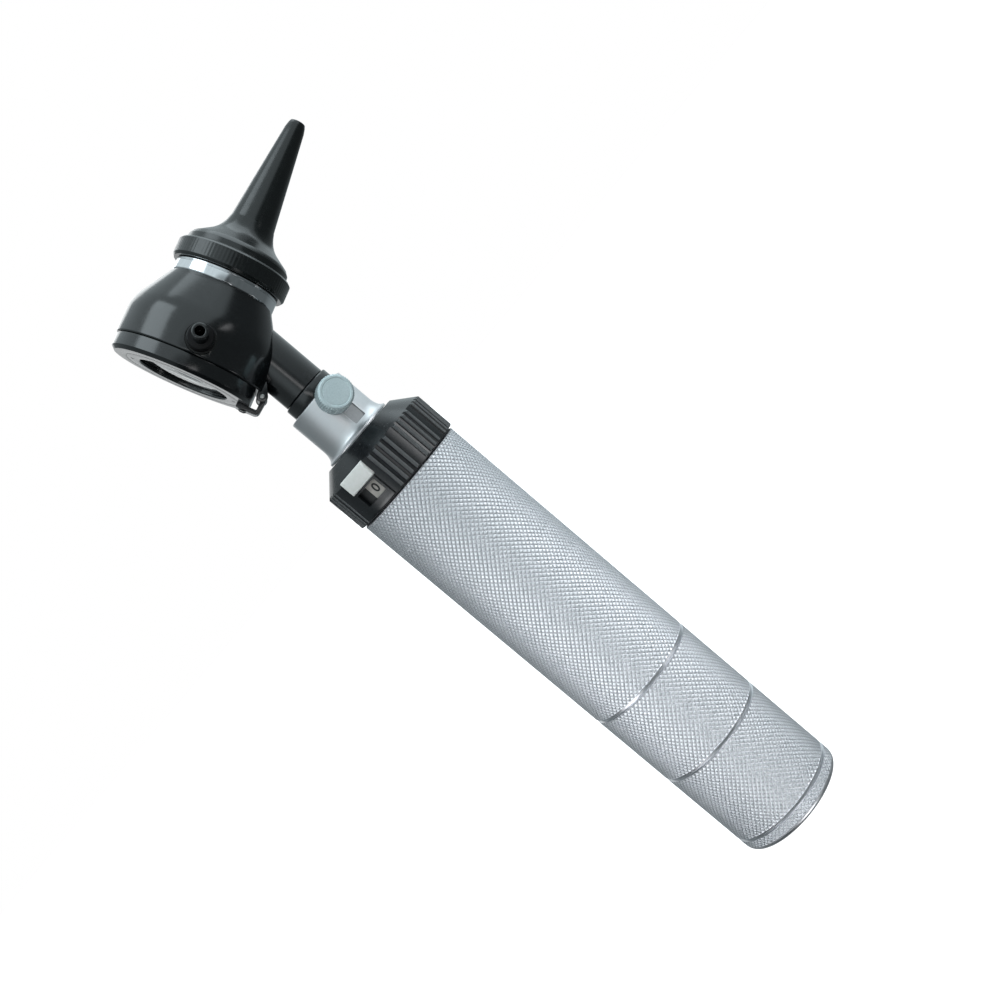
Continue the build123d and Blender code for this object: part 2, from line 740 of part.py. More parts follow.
def port_plane(y):
    """A plane across the port's axis at the given y, facing outwards."""
    return Plane(Vector(port_axis_point.X, y, port_axis_point.Z), z_dir=(0, -1, 0))


with BuildPart() as head_body:
    with BuildSketch(HEAD_PLANE):
        with BuildLine():
            Polyline(
                (CASE_FRONT, SEAT_HOLE_R),
                (CASE_FRONT, CASE_FRONT_R),
                (CONE_START, CONE_START_R),
                (CONE_END, cone_end_r),
            )
            TangentArc(
                (CONE_END, cone_end_r),
                (CONE_END - 2.4, CASE_R),
                tangent=(-1, CONE_SLOPE),
            )
            Polyline(
                (CONE_END - 2.4, CASE_R),
                (CASE_REAR + 0.25, CASE_R),
                (CASE_REAR, CASE_R - 0.25),
                (CASE_REAR, SEAL_GROOVE_OUTER),
                (CASE_REAR + SEAL_DEPTH, SEAL_GROOVE_OUTER),
                (CASE_REAR + SEAL_DEPTH, SEAL_GROOVE_INNER),
                (CASE_REAR, SEAL_GROOVE_INNER),
                (CASE_REAR, CASE_LIP_R),
                (CASE_REAR + CASE_LIP_DEPTH, CASE_LIP_R),
                (CASE_REAR + CASE_LIP_DEPTH + CASE_INNER_R - CASE_LIP_R, CASE_INNER_R),
                (CAVITY_CONE_END, CASE_INNER_R),
                (CAVITY_FRONT, cavity_front_r),
                (CAVITY_FRONT, SEAT_HOLE_R),
                (CASE_FRONT, SEAT_HOLE_R),
            )
        make_face()
    revolve(axis=HEAD_AXIS)
    # Two hinge ears stand out of the casing's rear edge beside the stem.
    for side in (-1, 1):
        far_y = max(side * EAR_INNER_Y, side * EAR_OUTER_Y)
        with BuildSketch(hinge_plane(far_y)):
            with Locations((HINGE_S, HINGE_P)):
                Circle(EAR_R)
            with BuildLine():
                Polyline(
                    (HINGE_S, HINGE_P - EAR_R),
                    (HINGE_S + 3.4, -CASE_R + 0.2),
                    (CASE_REAR + 0.9, -CASE_INNER_R - 0.7),
                    (HINGE_S, HINGE_P + EAR_R),
                    close=True,
                )
            make_face()
        extrude(amount=EAR_OUTER_Y - EAR_INNER_Y)
    # A slot between the ears for the strap's knuckle, and the pin's hole.
    with BuildSketch(hinge_plane(EAR_INNER_Y)):
        with Locations((HINGE_S, HINGE_P)):
            Circle(EAR_R + KNUCKLE_ROOM)
    extrude(amount=2 * EAR_INNER_Y, mode=Mode.SUBTRACT)
    with BuildSketch(hinge_plane(EAR_OUTER_Y + 1)):
        with Locations((HINGE_S, HINGE_P)):
            Circle(HINGE_PIN_R)
    extrude(amount=2 * EAR_OUTER_Y + 2, mode=Mode.SUBTRACT)
    # The stem's hole through the casing's floor.
    with BuildSketch(Plane.XY.offset(FERRULE_TOP)):
        Circle(STEM_R)
    extrude(amount=STEM_TOP - FERRULE_TOP, mode=Mode.SUBTRACT)
    # A flat spot face and a hole for the insufflation port.
    with BuildSketch(port_plane(PORT_FACE_Y)):
        Circle(PORT_FACE_R)
    extrude(amount=PORT_FACE_CUT, mode=Mode.SUBTRACT)
    with BuildSketch(port_plane(-CASE_INNER_R / 2)):
        Circle(PORT_STUB_R)
    extrude(amount=CASE_R, mode=Mode.SUBTRACT)
save(head_body, "head_body")

rear_seal = head_turned([
    (CASE_REAR, SEAL_GROOVE_INNER),
    (CASE_REAR, SEAL_GROOVE_OUTER),
    (CASE_REAR + SEAL_DEPTH, SEAL_GROOVE_OUTER),
    (CASE_REAR + SEAL_DEPTH, SEAL_GROOVE_INNER),
])
save(rear_seal, "rear_seal")

# --- insufflation port ------------------------------------------------------
WASHER_THICKNESS = 0.4
BOSS_TIP_Y = -20.3


def port_turned(profile):
    """A solid of revolution about the port's axis from (radius, outward) points."""
    plane = Plane(
        Vector(port_axis_point.X, 0, port_axis_point.Z),
        x_dir=(1, 0, 0),
        z_dir=(0, 0, 1),
    )
    return turned(profile, plane, Axis(plane.origin, (0, 1, 0)))


port_washer = port_turned([
    (PORT_STUB_R, PORT_FACE_Y),
    (PORT_FACE_R - 0.2, PORT_FACE_Y),
    (PORT_FACE_R - 0.2, PORT_FACE_Y - WASHER_THICKNESS),
    (PORT_STUB_R, PORT_FACE_Y - WASHER_THICKNESS),
])
save(port_washer, "port_washer")

insufflation_port = port_turned([
    (PORT_BORE_R, -CASE_INNER_R + 0.4),
    (PORT_STUB_R, -CASE_INNER_R + 0.4),
    (PORT_STUB_R, PORT_FACE_Y - WASHER_THICKNESS),
    (PORT_BOSS_R, PORT_FACE_Y - WASHER_THICKNESS),
    (PORT_BOSS_R, BOSS_TIP_Y + 0.3),
    (PORT_BOSS_R - 0.3, BOSS_TIP_Y),
    (PORT_TUBE_R, BOSS_TIP_Y),
    (PORT_TUBE_R, PORT_TIP_Y + 0.3),
    (PORT_TUBE_R - 0.3, PORT_TIP_Y),
    (PORT_BORE_R, PORT_TIP_Y),
])
save(insufflation_port, "insufflation_port")

# --- speculum seat and speculum ---------------------------------------------
SEAT_TAPER_BASE_R = 9.4
SEAT_TAPER_TIP_R = 8.9
SEAT_TIP = 14.3
SEAT_TAIL = 2.3
RING_BEVEL = 0.35
speculum_seat = head_turned([
    (SEAT_TAIL, VIEW_BORE_R),
    (SEAT_TAIL, SEAT_HOLE_R),
    (CASE_FRONT, SEAT_HOLE_R),
    (CASE_FRONT, RING_R - RING_BEVEL),
    (CASE_FRONT + RING_BEVEL, RING_R),
    (RING_FRONT - RING_BEVEL, RING_R),
    (RING_FRONT, RING_R - RING_BEVEL),
    (RING_FRONT, SEAT_TAPER_BASE_R),
    (SEAT_TIP, SEAT_TAPER_TIP_R),
    (SEAT_TIP, VIEW_BORE_R),
])
save(speculum_seat, "speculum_seat")

SPECULUM_BASE = RING_FRONT + 0.08
SPECULUM_TIP = 48.4
SPECULUM_FIT = 0.06
speculum_inner = [
    (SPECULUM_BASE, SEAT_TAPER_BASE_R + SPECULUM_FIT),
    (SEAT_TIP + 0.3, SEAT_TAPER_TIP_R + SPECULUM_FIT),
    (16.2, 7.9),
    (18.0, 5.9),
    (20.6, 4.4),
    (23.5, 3.9),
    (SPECULUM_TIP, 1.4),
]
speculum_tiers = [
    (SPECULUM_BASE, 12.9),
    (8.9, 13.35),
    (12.1, 13.35),
    (12.7, 12.85),
    (12.95, 12.0),
    (14.2, 11.9),
]
speculum_flare = [(14.2, 11.9), (15.0, 11.35), (16.4, 9.45), (17.8, 7.6), (20.6, 5.76), (23.4, 5.06)]
FLARE_START_DIR = (1.0, -0.4)
CONE_DIR = (23.0, -2.73)
cone_foot = (46.4, 2.33)
with BuildPart() as speculum:
    with BuildSketch(HEAD_PLANE):
        with BuildLine():
            Polyline(*speculum_tiers)
            Spline(*speculum_flare, tangents=(FLARE_START_DIR, CONE_DIR))
            Line(speculum_flare[-1], cone_foot)
            ThreePointArc(cone_foot, (47.6, 2.05), (SPECULUM_TIP, 1.4))
            Polyline(*speculum_inner[::-1])
            Line(speculum_inner[0], speculum_tiers[0])
        make_face()
    revolve(axis=HEAD_AXIS)
save(speculum, "speculum")

# --- hinged lens plate ------------------------------------------------------
LENS_SEAT_S = -14.1
LENS_EDGE = 1.3
LENS_SAG = 0.9
PLATE_BEVEL = 0.8
SPANNER_P = 12.0
SPANNER_HOLE_R = 0.45
RIVET_R = 0.55
RIVET_HEAD_R = 0.95
RIVET_HEAD = 0.35
RIVET_DEPTH = 2.2
RIVET_P = -14.35
RIVET_Y = 1.4
rivet_places = [(-RIVET_Y, RIVET_P), (RIVET_Y, RIVET_P)]
ring_seat_s = PLATE_REAR + LENS_RING_DEPTH
with BuildPart() as lens_plate:
    with BuildSketch(HEAD_PLANE):
        with BuildLine():
            Polyline(
                (PLATE_FRONT, LENS_LIP_R),
                (PLATE_FRONT, PLATE_R - 0.25),
                (PLATE_FRONT - 0.25, PLATE_R),
                (PLATE_REAR + PLATE_BEVEL, PLATE_R),
                (PLATE_REAR, PLATE_R - PLATE_BEVEL),
                (PLATE_REAR, LENS_RING_R),
                (ring_seat_s, LENS_RING_R),
                (ring_seat_s, LENS_R + 0.03),
                (LENS_SEAT_S, LENS_R + 0.03),
                (LENS_SEAT_S, LENS_LIP_R),
                close=True,
            )
        make_face()
    revolve(axis=HEAD_AXIS)
    # A flat across the plate's lower edge makes room for the hinge strap.
    with BuildSketch(head_station(PLATE_REAR - 1)):
        with Locations((0, PLATE_FLAT - PLATE_R / 2)):
            Rectangle(2 * PLATE_R, PLATE_R)
    extrude(amount=PLATE_FRONT - PLATE_REAR + 2, mode=Mode.SUBTRACT)
    with BuildSketch(head_station(PLATE_REAR)):
        with Locations(*rivet_places):
            Circle(RIVET_R)
    extrude(amount=RIVET_DEPTH, mode=Mode.SUBTRACT)
save(lens_plate, "lens_plate")

front_face_r = (LENS_LIP_R**2 + LENS_SAG**2) / (2 * LENS_SAG)
lens_front = LENS_SEAT_S + LENS_SAG
lens_back = LENS_SEAT_S - LENS_EDGE - LENS_SAG
with BuildPart() as lens:
    with BuildSketch(HEAD_PLANE):
        with BuildLine():
            Line((lens_front, 0), (lens_back, 0))
            RadiusArc((lens_back, 0), (LENS_SEAT_S - LENS_EDGE, LENS_LIP_R), front_face_r)
            Polyline(
                (LENS_SEAT_S - LENS_EDGE, LENS_LIP_R),
                (LENS_SEAT_S - LENS_EDGE, LENS_R),
                (LENS_SEAT_S, LENS_R),
                (LENS_SEAT_S, LENS_LIP_R),
            )
            RadiusArc((LENS_SEAT_S, LENS_LIP_R), (lens_front, 0), front_face_r)
        make_face()
    revolve(axis=HEAD_AXIS)
save(lens, "lens")

with BuildPart() as lens_ring:
    with BuildSketch(head_station(PLATE_REAR)):
        Circle(LENS_RING_R)
        Circle(LENS_VIEW_R, mode=Mode.SUBTRACT)
        with Locations((0, SPANNER_P), (0, -SPANNER_P)):
            Circle(SPANNER_HOLE_R, mode=Mode.SUBTRACT)
    extrude(amount=LENS_RING_DEPTH - 0.02)
save(lens_ring, "lens_ring")

lens_rim_s = LENS_SEAT_S - LENS_EDGE
washer_inner_r = LENS_LIP_R + 0.1
lens_washer = head_turned([
    (lens_rim_s, washer_inner_r),
    (lens_rim_s, LENS_R),
    (ring_seat_s, LENS_R),
    (ring_seat_s, washer_inner_r),
])
save(lens_washer, "lens_washer")

# The goose-neck strap carries the plate round the casing's rear edge.
strap_outer_p = HINGE_P - STRAP_THICKNESS + 0.05
with BuildPart() as hinge_strap:
    with BuildSketch(hinge_plane(STRAP_HALF_WIDTH)):
        with BuildLine():
            Polyline(
                (HINGE_S, strap_outer_p),
                (STRAP_REAR + 0.8, strap_outer_p),
                (STRAP_REAR, strap_outer_p + 0.8),
                (STRAP_REAR, STRAP_TIP_P),
                (PLATE_REAR - 0.02, STRAP_TIP_P),
                (PLATE_REAR - 0.02, strap_outer_p + STRAP_THICKNESS),
                (HINGE_S, strap_outer_p + STRAP_THICKNESS),
                close=True,
            )
        make_face()
        with Locations((HINGE_S, HINGE_P)):
            Circle(EAR_R - 0.1)
            Circle(HINGE_PIN_R + 0.05, mode=Mode.SUBTRACT)
    extrude(amount=2 * STRAP_HALF_WIDTH)
    with BuildSketch(head_station(STRAP_REAR - 0.5)):
        with Locations(*rivet_places):
            Circle(RIVET_R)
    extrude(amount=2, mode=Mode.SUBTRACT)
save(hinge_strap, "hinge_strap")

pin_half = EAR_OUTER_Y + 0.15
with BuildPart() as hinge_pin:
    with BuildSketch(hinge_plane(pin_half)):
        with Locations((HINGE_S, HINGE_P)):
            Circle(HINGE_PIN_R)
    extrude(amount=2 * pin_half)
save(hinge_pin, "hinge_pin")

with BuildPart() as strap_rivets:
    with BuildSketch(head_station(STRAP_REAR)):
        with Locations(*rivet_places):
            Circle(RIVET_R)
    extrude(amount=STRAP_THICKNESS + RIVET_DEPTH - 0.2)
    with BuildSketch(head_station(STRAP_REAR - RIVET_HEAD)):
        with Locations(*rivet_places):
            Circle(RIVET_HEAD_R)
    extrude(amount=RIVET_HEAD)
save(strap_rivets, "strap_rivets")
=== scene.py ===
import json
import math

import bmesh
import bpy
from mathutils import Matrix, Vector


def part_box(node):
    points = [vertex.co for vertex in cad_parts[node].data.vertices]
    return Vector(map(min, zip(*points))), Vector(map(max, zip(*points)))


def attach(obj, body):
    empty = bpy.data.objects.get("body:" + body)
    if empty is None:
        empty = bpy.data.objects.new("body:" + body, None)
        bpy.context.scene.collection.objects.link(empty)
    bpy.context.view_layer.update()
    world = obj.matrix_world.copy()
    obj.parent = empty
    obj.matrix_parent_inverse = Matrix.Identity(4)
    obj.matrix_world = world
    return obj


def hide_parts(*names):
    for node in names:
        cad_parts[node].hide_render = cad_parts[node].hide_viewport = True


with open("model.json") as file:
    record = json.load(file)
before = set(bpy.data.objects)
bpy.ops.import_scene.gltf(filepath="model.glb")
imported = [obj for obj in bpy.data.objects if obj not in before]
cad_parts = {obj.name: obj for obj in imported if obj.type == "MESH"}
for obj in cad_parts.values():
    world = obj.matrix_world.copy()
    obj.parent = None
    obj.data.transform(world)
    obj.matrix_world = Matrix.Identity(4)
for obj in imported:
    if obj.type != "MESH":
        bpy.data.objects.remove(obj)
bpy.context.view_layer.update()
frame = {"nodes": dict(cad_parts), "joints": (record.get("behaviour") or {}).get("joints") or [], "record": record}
scene = bpy.context.scene

# Lengths below are in millimetres, in the frame of the part; MM turns them into metres.
# The handle stands on its end cap along +Z. Azimuths round it run from -Y towards +X.
# On the head, "station" runs along its axis to the speculum's tip and "radius" across it;
# a name that ends in _P or _p is a height above that axis, and one in _s a station.
MM = 0.001
HANDLE = Matrix.Identity(4)
BODY_OF = {
    node: body
    for body, members in frame["record"]["behaviour"]["bodies"].items()
    for node in members
}


# --- placements, read from the frame ---
def add_object(name, data):
    made = bpy.data.objects.new(name, data)
    scene.collection.objects.link(made)
    return made


def turned_to(*directions):
    return Matrix(directions).transposed().to_4x4()


def axes(origin, along, across):
    """A placement at origin (mm) whose Z is along and whose X is across."""
    return Matrix.Translation(origin) @ turned_to(across, along.cross(across), along)


def outward(azimuth):
    angle = math.radians(azimuth)
    return Vector((math.sin(angle), -math.cos(angle), 0))


def radial(azimuth, height):
    """A placement on the handle's axis whose Z points out of the handle; Y is up."""
    direction = outward(azimuth)
    return axes(Vector((0, 0, height)), direction, Vector((-direction.y, direction.x, 0)))


def azimuth_of(point):
    return math.degrees(math.atan2(point.x, -point.y))


def shifted(place, x, y, z):
    return place @ Matrix.Translation((x, y, z))


def centre(node):
    low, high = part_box(node)
    return (low + high) / 2 / MM


def find_joint(name):
    return next(joint for joint in frame["joints"] if joint["name"] == name)


head_axis = Vector(find_joint("speculum_pull")["axis"]).normalized()
lens_centre = centre("lens")
head_origin = lens_centre - head_axis * (lens_centre.x / head_axis.x)
HEAD = axes(head_origin, head_axis, Vector((-head_axis.z, 0, head_axis.x)))
port_centre = centre("port_washer")
PORT = axes(Vector((port_centre.x, 0, port_centre.z)), Vector((0, -1, 0)), Vector((1, 0, 0)))
pin_centre = centre("hinge_pin")
PIN = axes(Vector((pin_centre.x, 0, pin_centre.z)), Vector((0, -1, 0)), Vector((1, 0, 0)))


def reach(node, place=HANDLE):
    """Largest radius, lowest and highest station of a CAD node about a placement, in mm."""
    back = place.inverted()
    points = [back @ (vertex.co / MM) for vertex in frame["nodes"][node].data.vertices]
    radius = max(math.hypot(point.x, point.y) for point in points)
    stations = [point.z for point in points]
    return radius, min(stations), max(stations)


# --- camera ---
CAMERA_PLACE = Vector((-44.364, -321.069, 132.380))
CAMERA_RIGHT = Vector((0.62486868, -0.18366710, -0.75881851))
CAMERA_UP = Vector((0.76299947, -0.06229690, 0.64339016))
CAMERA_AXES = (CAMERA_RIGHT, CAMERA_UP, CAMERA_RIGHT.cross(CAMERA_UP))
CAMERA_LENS = 50.8455
SENSOR_WIDTH = 36.0

camera = add_object("camera", bpy.data.cameras.new("camera"))
scene.camera = camera
camera.data.sensor_width = SENSOR_WIDTH
camera.data.lens = CAMERA_LENS
camera.data.clip_start = 0.01
camera.data.clip_end = 50
camera.matrix_world = Matrix.Translation(CAMERA_PLACE * MM) @ turned_to(*CAMERA_AXES)


# --- mesh helpers ---
SHARP_ANGLE = math.radians(32)
# Steps round a turned piece, for most pieces and for slim ones.
FINE = 192
SMALL = 96
ROUND_STEPS = 4
ROUND_SHARE = 0.45
BEVEL_STEPS = 3
MERGE_DISTANCE = 1e-5


def softened(corners):
    """A closed outline of (across, along, round) corners, with each corner made an arc."""
    outline = []
    for index, (across, along, rounding) in enumerate(corners):
        here = Vector((across, along))
        back = Vector(corners[index - 1][:2]) - here
        ahead = Vector(corners[(index + 1) % len(corners)][:2]) - here
        if rounding == 0:
            outline.append(here)
            continue
        half = back.angle(ahead) / 2
        reach_each = min(rounding / math.tan(half), ROUND_SHARE * back.length, ROUND_SHARE * ahead.length)
        start = here + back.normalized() * reach_each
        end = here + ahead.normalized() * reach_each
        middle = (back.normalized() + ahead.normalized()).normalized()
        hub = here + middle * (reach_each / math.cos(half))
        spoke, last_spoke = start - hub, end - hub
        for step in range(ROUND_STEPS + 1):
            direction = spoke.normalized().slerp(last_spoke.normalized(), step / ROUND_STEPS)
            outline.append(hub + direction * spoke.length)
    return outline


def smooth_run(points, steps=4):
    """A curve through given points (Catmull-Rom), as corners with no rounding."""
    ends = [points[0], *points, points[-1]]
    run = []
    for index in range(1, len(ends) - 2):
        before, start, end, after = (Vector(p) for p in ends[index - 1 : index + 3])
        for step in range(steps):
            t = step / steps
            place = (
                start * 2
                + (end - before) * t
                + (before * 2 - start * 5 + end * 4 - after) * t**2
                + (start * 3 - before - end * 3 + after) * t**3
            ) / 2
            run.append((place.x, place.y, 0))
    run.append((*points[-1], 0))
    return run


def build(name, mesh_maker, place):
    """A smooth-shaded object with sharp edges kept sharp, placed in the frame."""
    shell = bmesh.new()
    mesh_maker(shell)
    bmesh.ops.remove_doubles(shell, verts=shell.verts, dist=MERGE_DISTANCE)
    bmesh.ops.recalc_face_normals(shell, faces=shell.faces)
    bmesh.ops.transform(shell, matrix=Matrix.Scale(MM, 4) @ place, verts=shell.verts)
    mesh = bpy.data.meshes.new(name)
    shell.to_mesh(mesh)
    shell.free()
    piece = add_object(name, mesh)
    shade(piece)
    return piece


def shade(piece):
    piece.data.polygons.foreach_set("use_smooth", [True] * len(piece.data.polygons))
    piece.data.set_sharp_from_angle(angle=SHARP_ANGLE)


def bridge(shell, lower, upper):
    """Faces between two closed rings, with three corners where two of the four coincide."""
    for index in range(len(lower)):
        following = (index + 1) % len(lower)
        corners = [lower[index], lower[following], upper[following], upper[index]]
        distinct = [vertex for n, vertex in enumerate(corners) if vertex not in corners[:n]]
        if len(distinct) > 2:
            shell.faces.new(distinct)


def lathe(name, corners, place=HANDLE, steps=FINE, ripple=None):
    """A solid of revolution about a placement's Z from a closed (radius, station) outline.
    ripple(angle, radius, station) gives a new radius where the surface isn't round."""

    def turn(shell):
        rings = []
        for radius, station in softened(corners):
            if radius == 0:
                rings.append([shell.verts.new((0, 0, station))] * steps)
                continue
            ring = []
            for index in range(steps):
                angle = 2 * math.pi * index / steps
                reach_out = ripple(angle, radius, station) if ripple else radius
                x, y = reach_out * math.cos(angle), reach_out * math.sin(angle)
                ring.append(shell.verts.new((x, y, station)))
            rings.append(ring)
        for index, ring in enumerate(rings):
            if ring[0] is not rings[index - 1][0] and len({id(v) for v in ring + rings[index - 1]}) > 2:
                bridge(shell, rings[index - 1], ring)

    return build(name, turn, place)


def slab(name, outline, depth, place):
    """A flat plate: an (x, y) outline pushed along the placement's Z, half each way."""

    def push(shell):
        low = [shell.verts.new((x, y, -depth / 2)) for x, y in outline]
        high = [shell.verts.new((x, y, depth / 2)) for x, y in outline]
        bridge(shell, low, high)
        shell.faces.new(low[::-1])
        shell.faces.new(high)

    return build(name, push, place)


def rectangle(width, height, rounding):
    x, y = width / 2, height / 2
    return softened([(-x, -y, rounding), (x, -y, rounding), (x, y, rounding), (-x, y, rounding)])


def apply(piece, modifier):
    bpy.context.view_layer.objects.active = piece
    bpy.ops.object.modifier_apply(modifier=modifier.name)


def carve(piece, operation, *tools):
    """Joins tools to a piece (UNION) or cuts them out of it (DIFFERENCE)."""
    for tool in tools:
        cut = piece.modifiers.new("carve", "BOOLEAN")
        cut.operation = operation
        cut.solver = "EXACT"
        cut.object = tool
        apply(piece, cut)
        bpy.data.objects.remove(tool)
    shade(piece)


def drum(radius, low, high, place, steps=48):
    """A plain round cutter between two stations; it never stays in the scene."""
    corners = [(0, low, 0), (radius, low, 0), (radius, high, 0), (0, high, 0)]
    return lathe("cutter", corners, place, steps)


def repaint(piece, finish, chosen):
    """Gives another finish to the faces whose centre (mm, scene frame) is chosen."""
    slot = len(piece.data.materials)
    piece.data.materials.append(FINISHES[finish])
    for face in piece.data.polygons:
        if chosen(face.center / MM):
            face.material_index = slot


def bevelled(piece, width):
    bevel = piece.modifiers.new("bevel", "BEVEL")
    bevel.width = width * MM
    bevel.segments = BEVEL_STEPS
    bevel.limit_method = "ANGLE"
    bevel.angle_limit = SHARP_ANGLE
    apply(piece, bevel)
    shade(piece)
    return piece


def install(piece, finish, slot, *nodes):
    """Gives a piece its finish, and lets it stand for CAD nodes and ride on their body."""
    piece.data.materials.clear()
    piece.data.materials.append(FINISHES[finish])
    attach(piece, BODY_OF[nodes[0]])
    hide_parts(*nodes)


# --- materials ---
def link(tree, start, start_socket, end, end_socket):
    tree.links.new(start.outputs[start_socket], end.inputs[end_socket])


def set_sockets(shader, **values):
    """Sets a shader's sockets, named with _ for a space."""
    for socket, value in values.items():
        shader.inputs[socket.replace("_", " ")].default_value = value


def node(tree, kind, **settings):
    made = tree.nodes.new("ShaderNode" + kind)
    for name, value in settings.items():
        if name in made.inputs:
            made.inputs[name].default_value = value
        else:
            setattr(made, name, value)
    return made


NOISE_LOW = 0.3
NOISE_HIGH = 0.7


def ramp(tree, low, high):
    """A colour ramp over the noise's usual range, between two greys or two colours."""
    made = node(tree, "ValToRGB")
    for element, position, value in zip(made.color_ramp.elements, (NOISE_LOW, NOISE_HIGH), (low, high)):
        element.position = position
        colour = (value,) * 3 if isinstance(value, (int, float)) else value
        element.color = (*colour, 1)
    return made


def surface(name, colours, roughness, grain, bump, metallic=0.0, ior=1.5, stretch=(1, 1, 1), **more):
    """A finish whose colour, roughness and bump vary with one noise.
    colours and roughness are (low, high) pairs; grain is the noise's cell size in mm."""
    material = bpy.data.materials.new(name)
    material.use_nodes = True
    tree = material.node_tree
    shader = tree.nodes["Principled BSDF"]
    set_sockets(shader, Metallic=metallic, IOR=ior, **more)
    place = node(tree, "TexCoord")
    scale = node(tree, "Mapping", Scale=[1 / (grain * MM * part) for part in stretch])
    link(tree, place, "Object", scale, "Vector")
    noise = node(tree, "TexNoise", Scale=1.0, Detail=4.0, Roughness=0.6)
    link(tree, scale, "Vector", noise, "Vector")
    tint = ramp(tree, *colours)
    link(tree, noise, "Fac", tint, "Fac")
    link(tree, tint, "Color", shader, "Base Color")
    gloss = ramp(tree, *roughness)
    link(tree, noise, "Fac", gloss, "Fac")
    link(tree, gloss, "Color", shader, "Roughness")
    if bump:
        relief = node(tree, "Bump", Strength=0.5, Distance=bump * MM)
        link(tree, noise, "Fac", relief, "Height")
        link(tree, relief, "Normal", shader, "Normal")
    return material


FINISHES = {
    "knurled": surface(
        "knurled_aluminium", [(0.84, 0.86, 0.89), (0.91, 0.93, 0.96)],
        (0.48, 0.6), 0.5, 0.003, metallic=1,
    ),
    # Darker grey on the diamonds' sloping sides: painted shade for the knurl's valleys.
    "flank": surface(
        "knurl_flank_painted_shade", [(0.57, 0.58, 0.61), (0.67, 0.68, 0.71)],
        (0.5, 0.62), 0.5, 0.003, metallic=1,
    ),
    "turned": surface(
        "turned_aluminium", [(0.78, 0.79, 0.82), (0.86, 0.87, 0.9)],
        (0.28, 0.35), 1.6, 0.002, metallic=1, stretch=(1, 1, 0.04),
    ),
    "neck": surface(
        "satin_nickel", [(0.7, 0.71, 0.73), (0.76, 0.77, 0.78)],
        (0.34, 0.42), 2.0, 0.002, metallic=1, stretch=(1, 1, 0.03),
    ),
    "screw": surface(
        "screw_nickel", [(0.55, 0.66, 0.68), (0.66, 0.77, 0.79)],
        (0.38, 0.5), 0.35, 0.006, metallic=0.4,
    ),
    "chrome": surface(
        "bright_chrome", [(0.72, 0.74, 0.76), (0.82, 0.84, 0.86)],
        (0.08, 0.16), 3.0, 0.001, metallic=1, stretch=(1, 0.05, 1),
    ),
    "spring": surface(
        "spring_steel", [(0.45, 0.45, 0.44), (0.58, 0.58, 0.57)],
        (0.25, 0.4), 0.6, 0.003, metallic=1,
    ),
    "brass": surface("brass", [(0.55, 0.38, 0.14), (0.7, 0.5, 0.2)], (0.22, 0.38), 1.2, 0.003, metallic=1),
    "cell": surface("cell_jacket", [(0.03, 0.05, 0.09), (0.05, 0.08, 0.13)], (0.28, 0.42), 4.0, 0.002),
    "collar": surface(
        "collar_plastic", [(0.003, 0.004, 0.005), (0.006, 0.008, 0.01)],
        (0.2, 0.28), 0.6, 0.001, ior=1.6,
    ),
    # Lighter grey on the rib crests: painted sheen standing in for the highlights they catch.
    "rib_sheen": surface(
        "collar_rib_painted_sheen", [(0.045, 0.05, 0.052), (0.085, 0.092, 0.095)],
        (0.34, 0.46), 0.22, 0.004, ior=1.6,
    ),
    # Darker grey for the neck's slot: painted shade beside the knob.
    "slot_shade": surface(
        "slot_painted_shade", [(0.34, 0.35, 0.36), (0.42, 0.43, 0.44)],
        (0.45, 0.55), 0.6, 0.003, metallic=1,
    ),
    "port": surface(
        "matt_port_plastic", [(0.003, 0.003, 0.004), (0.006, 0.006, 0.007)],
        (0.38, 0.48), 0.5, 0.001, ior=1.35,
    ),
    "head": surface(
        "head_enamel", [(0.002, 0.003, 0.004), (0.005, 0.007, 0.008)],
        (0.15, 0.21), 0.9, 0.001, ior=1.72,
    ),
    "speculum": surface(
        "speculum_plastic", [(0.003, 0.005, 0.005), (0.006, 0.009, 0.009)],
        (0.2, 0.28), 1.2, 0.001, ior=1.65,
    ),
    "strap": surface(
        "strap_enamel", [(0.002, 0.003, 0.004), (0.006, 0.007, 0.008)],
        (0.16, 0.26), 0.5, 0.001, ior=1.6,
    ),
    "ivory": surface("ivory_plastic", [(0.88, 0.88, 0.84), (0.93, 0.93, 0.9)], (0.32, 0.42), 0.8, 0.003),
    "scale": surface("scale_plastic", [(0.01, 0.011, 0.012), (0.018, 0.019, 0.02)], (0.4, 0.55), 0.5, 0.004),
    "label": surface("label_print", [(0.4, 0.37, 0.34), (0.56, 0.52, 0.48)], (0.4, 0.55), 0.9, 0.002),
    "ink": surface("scale_ink", [(0.004, 0.004, 0.004), (0.012, 0.012, 0.012)], (0.5, 0.65), 0.2, 0.002),
    "black_insulator": surface(
        "phenolic", [(0.02, 0.018, 0.016), (0.04, 0.034, 0.03)],
        (0.45, 0.6), 0.7, 0.006,
    ),
    "white_insulator": surface("ceramic", [(0.62, 0.6, 0.55), (0.74, 0.72, 0.68)], (0.3, 0.45), 0.6, 0.004),
    "rubber": surface("seal_rubber", [(0.012, 0.012, 0.012), (0.025, 0.025, 0.025)], (0.6, 0.75), 0.3, 0.01),
    "fibre": surface(
        "fibre_bundle", [(0.55, 0.6, 0.62), (0.8, 0.84, 0.85)],
        (0.15, 0.3), 0.12, 0.004, Transmission_Weight=0.4,
    ),
    "glass": surface(
        "clear_glass", [(0.9, 0.95, 0.94), (0.97, 1.0, 0.99)],
        (0.0, 0.03), 6.0, 0, ior=1.52, Transmission_Weight=1.0,
    ),
}


# --- knurled handle ---
KNURL_COLUMNS = 75
KNURL_PITCH = 1.35
KNURL_DEPTH = 0.11
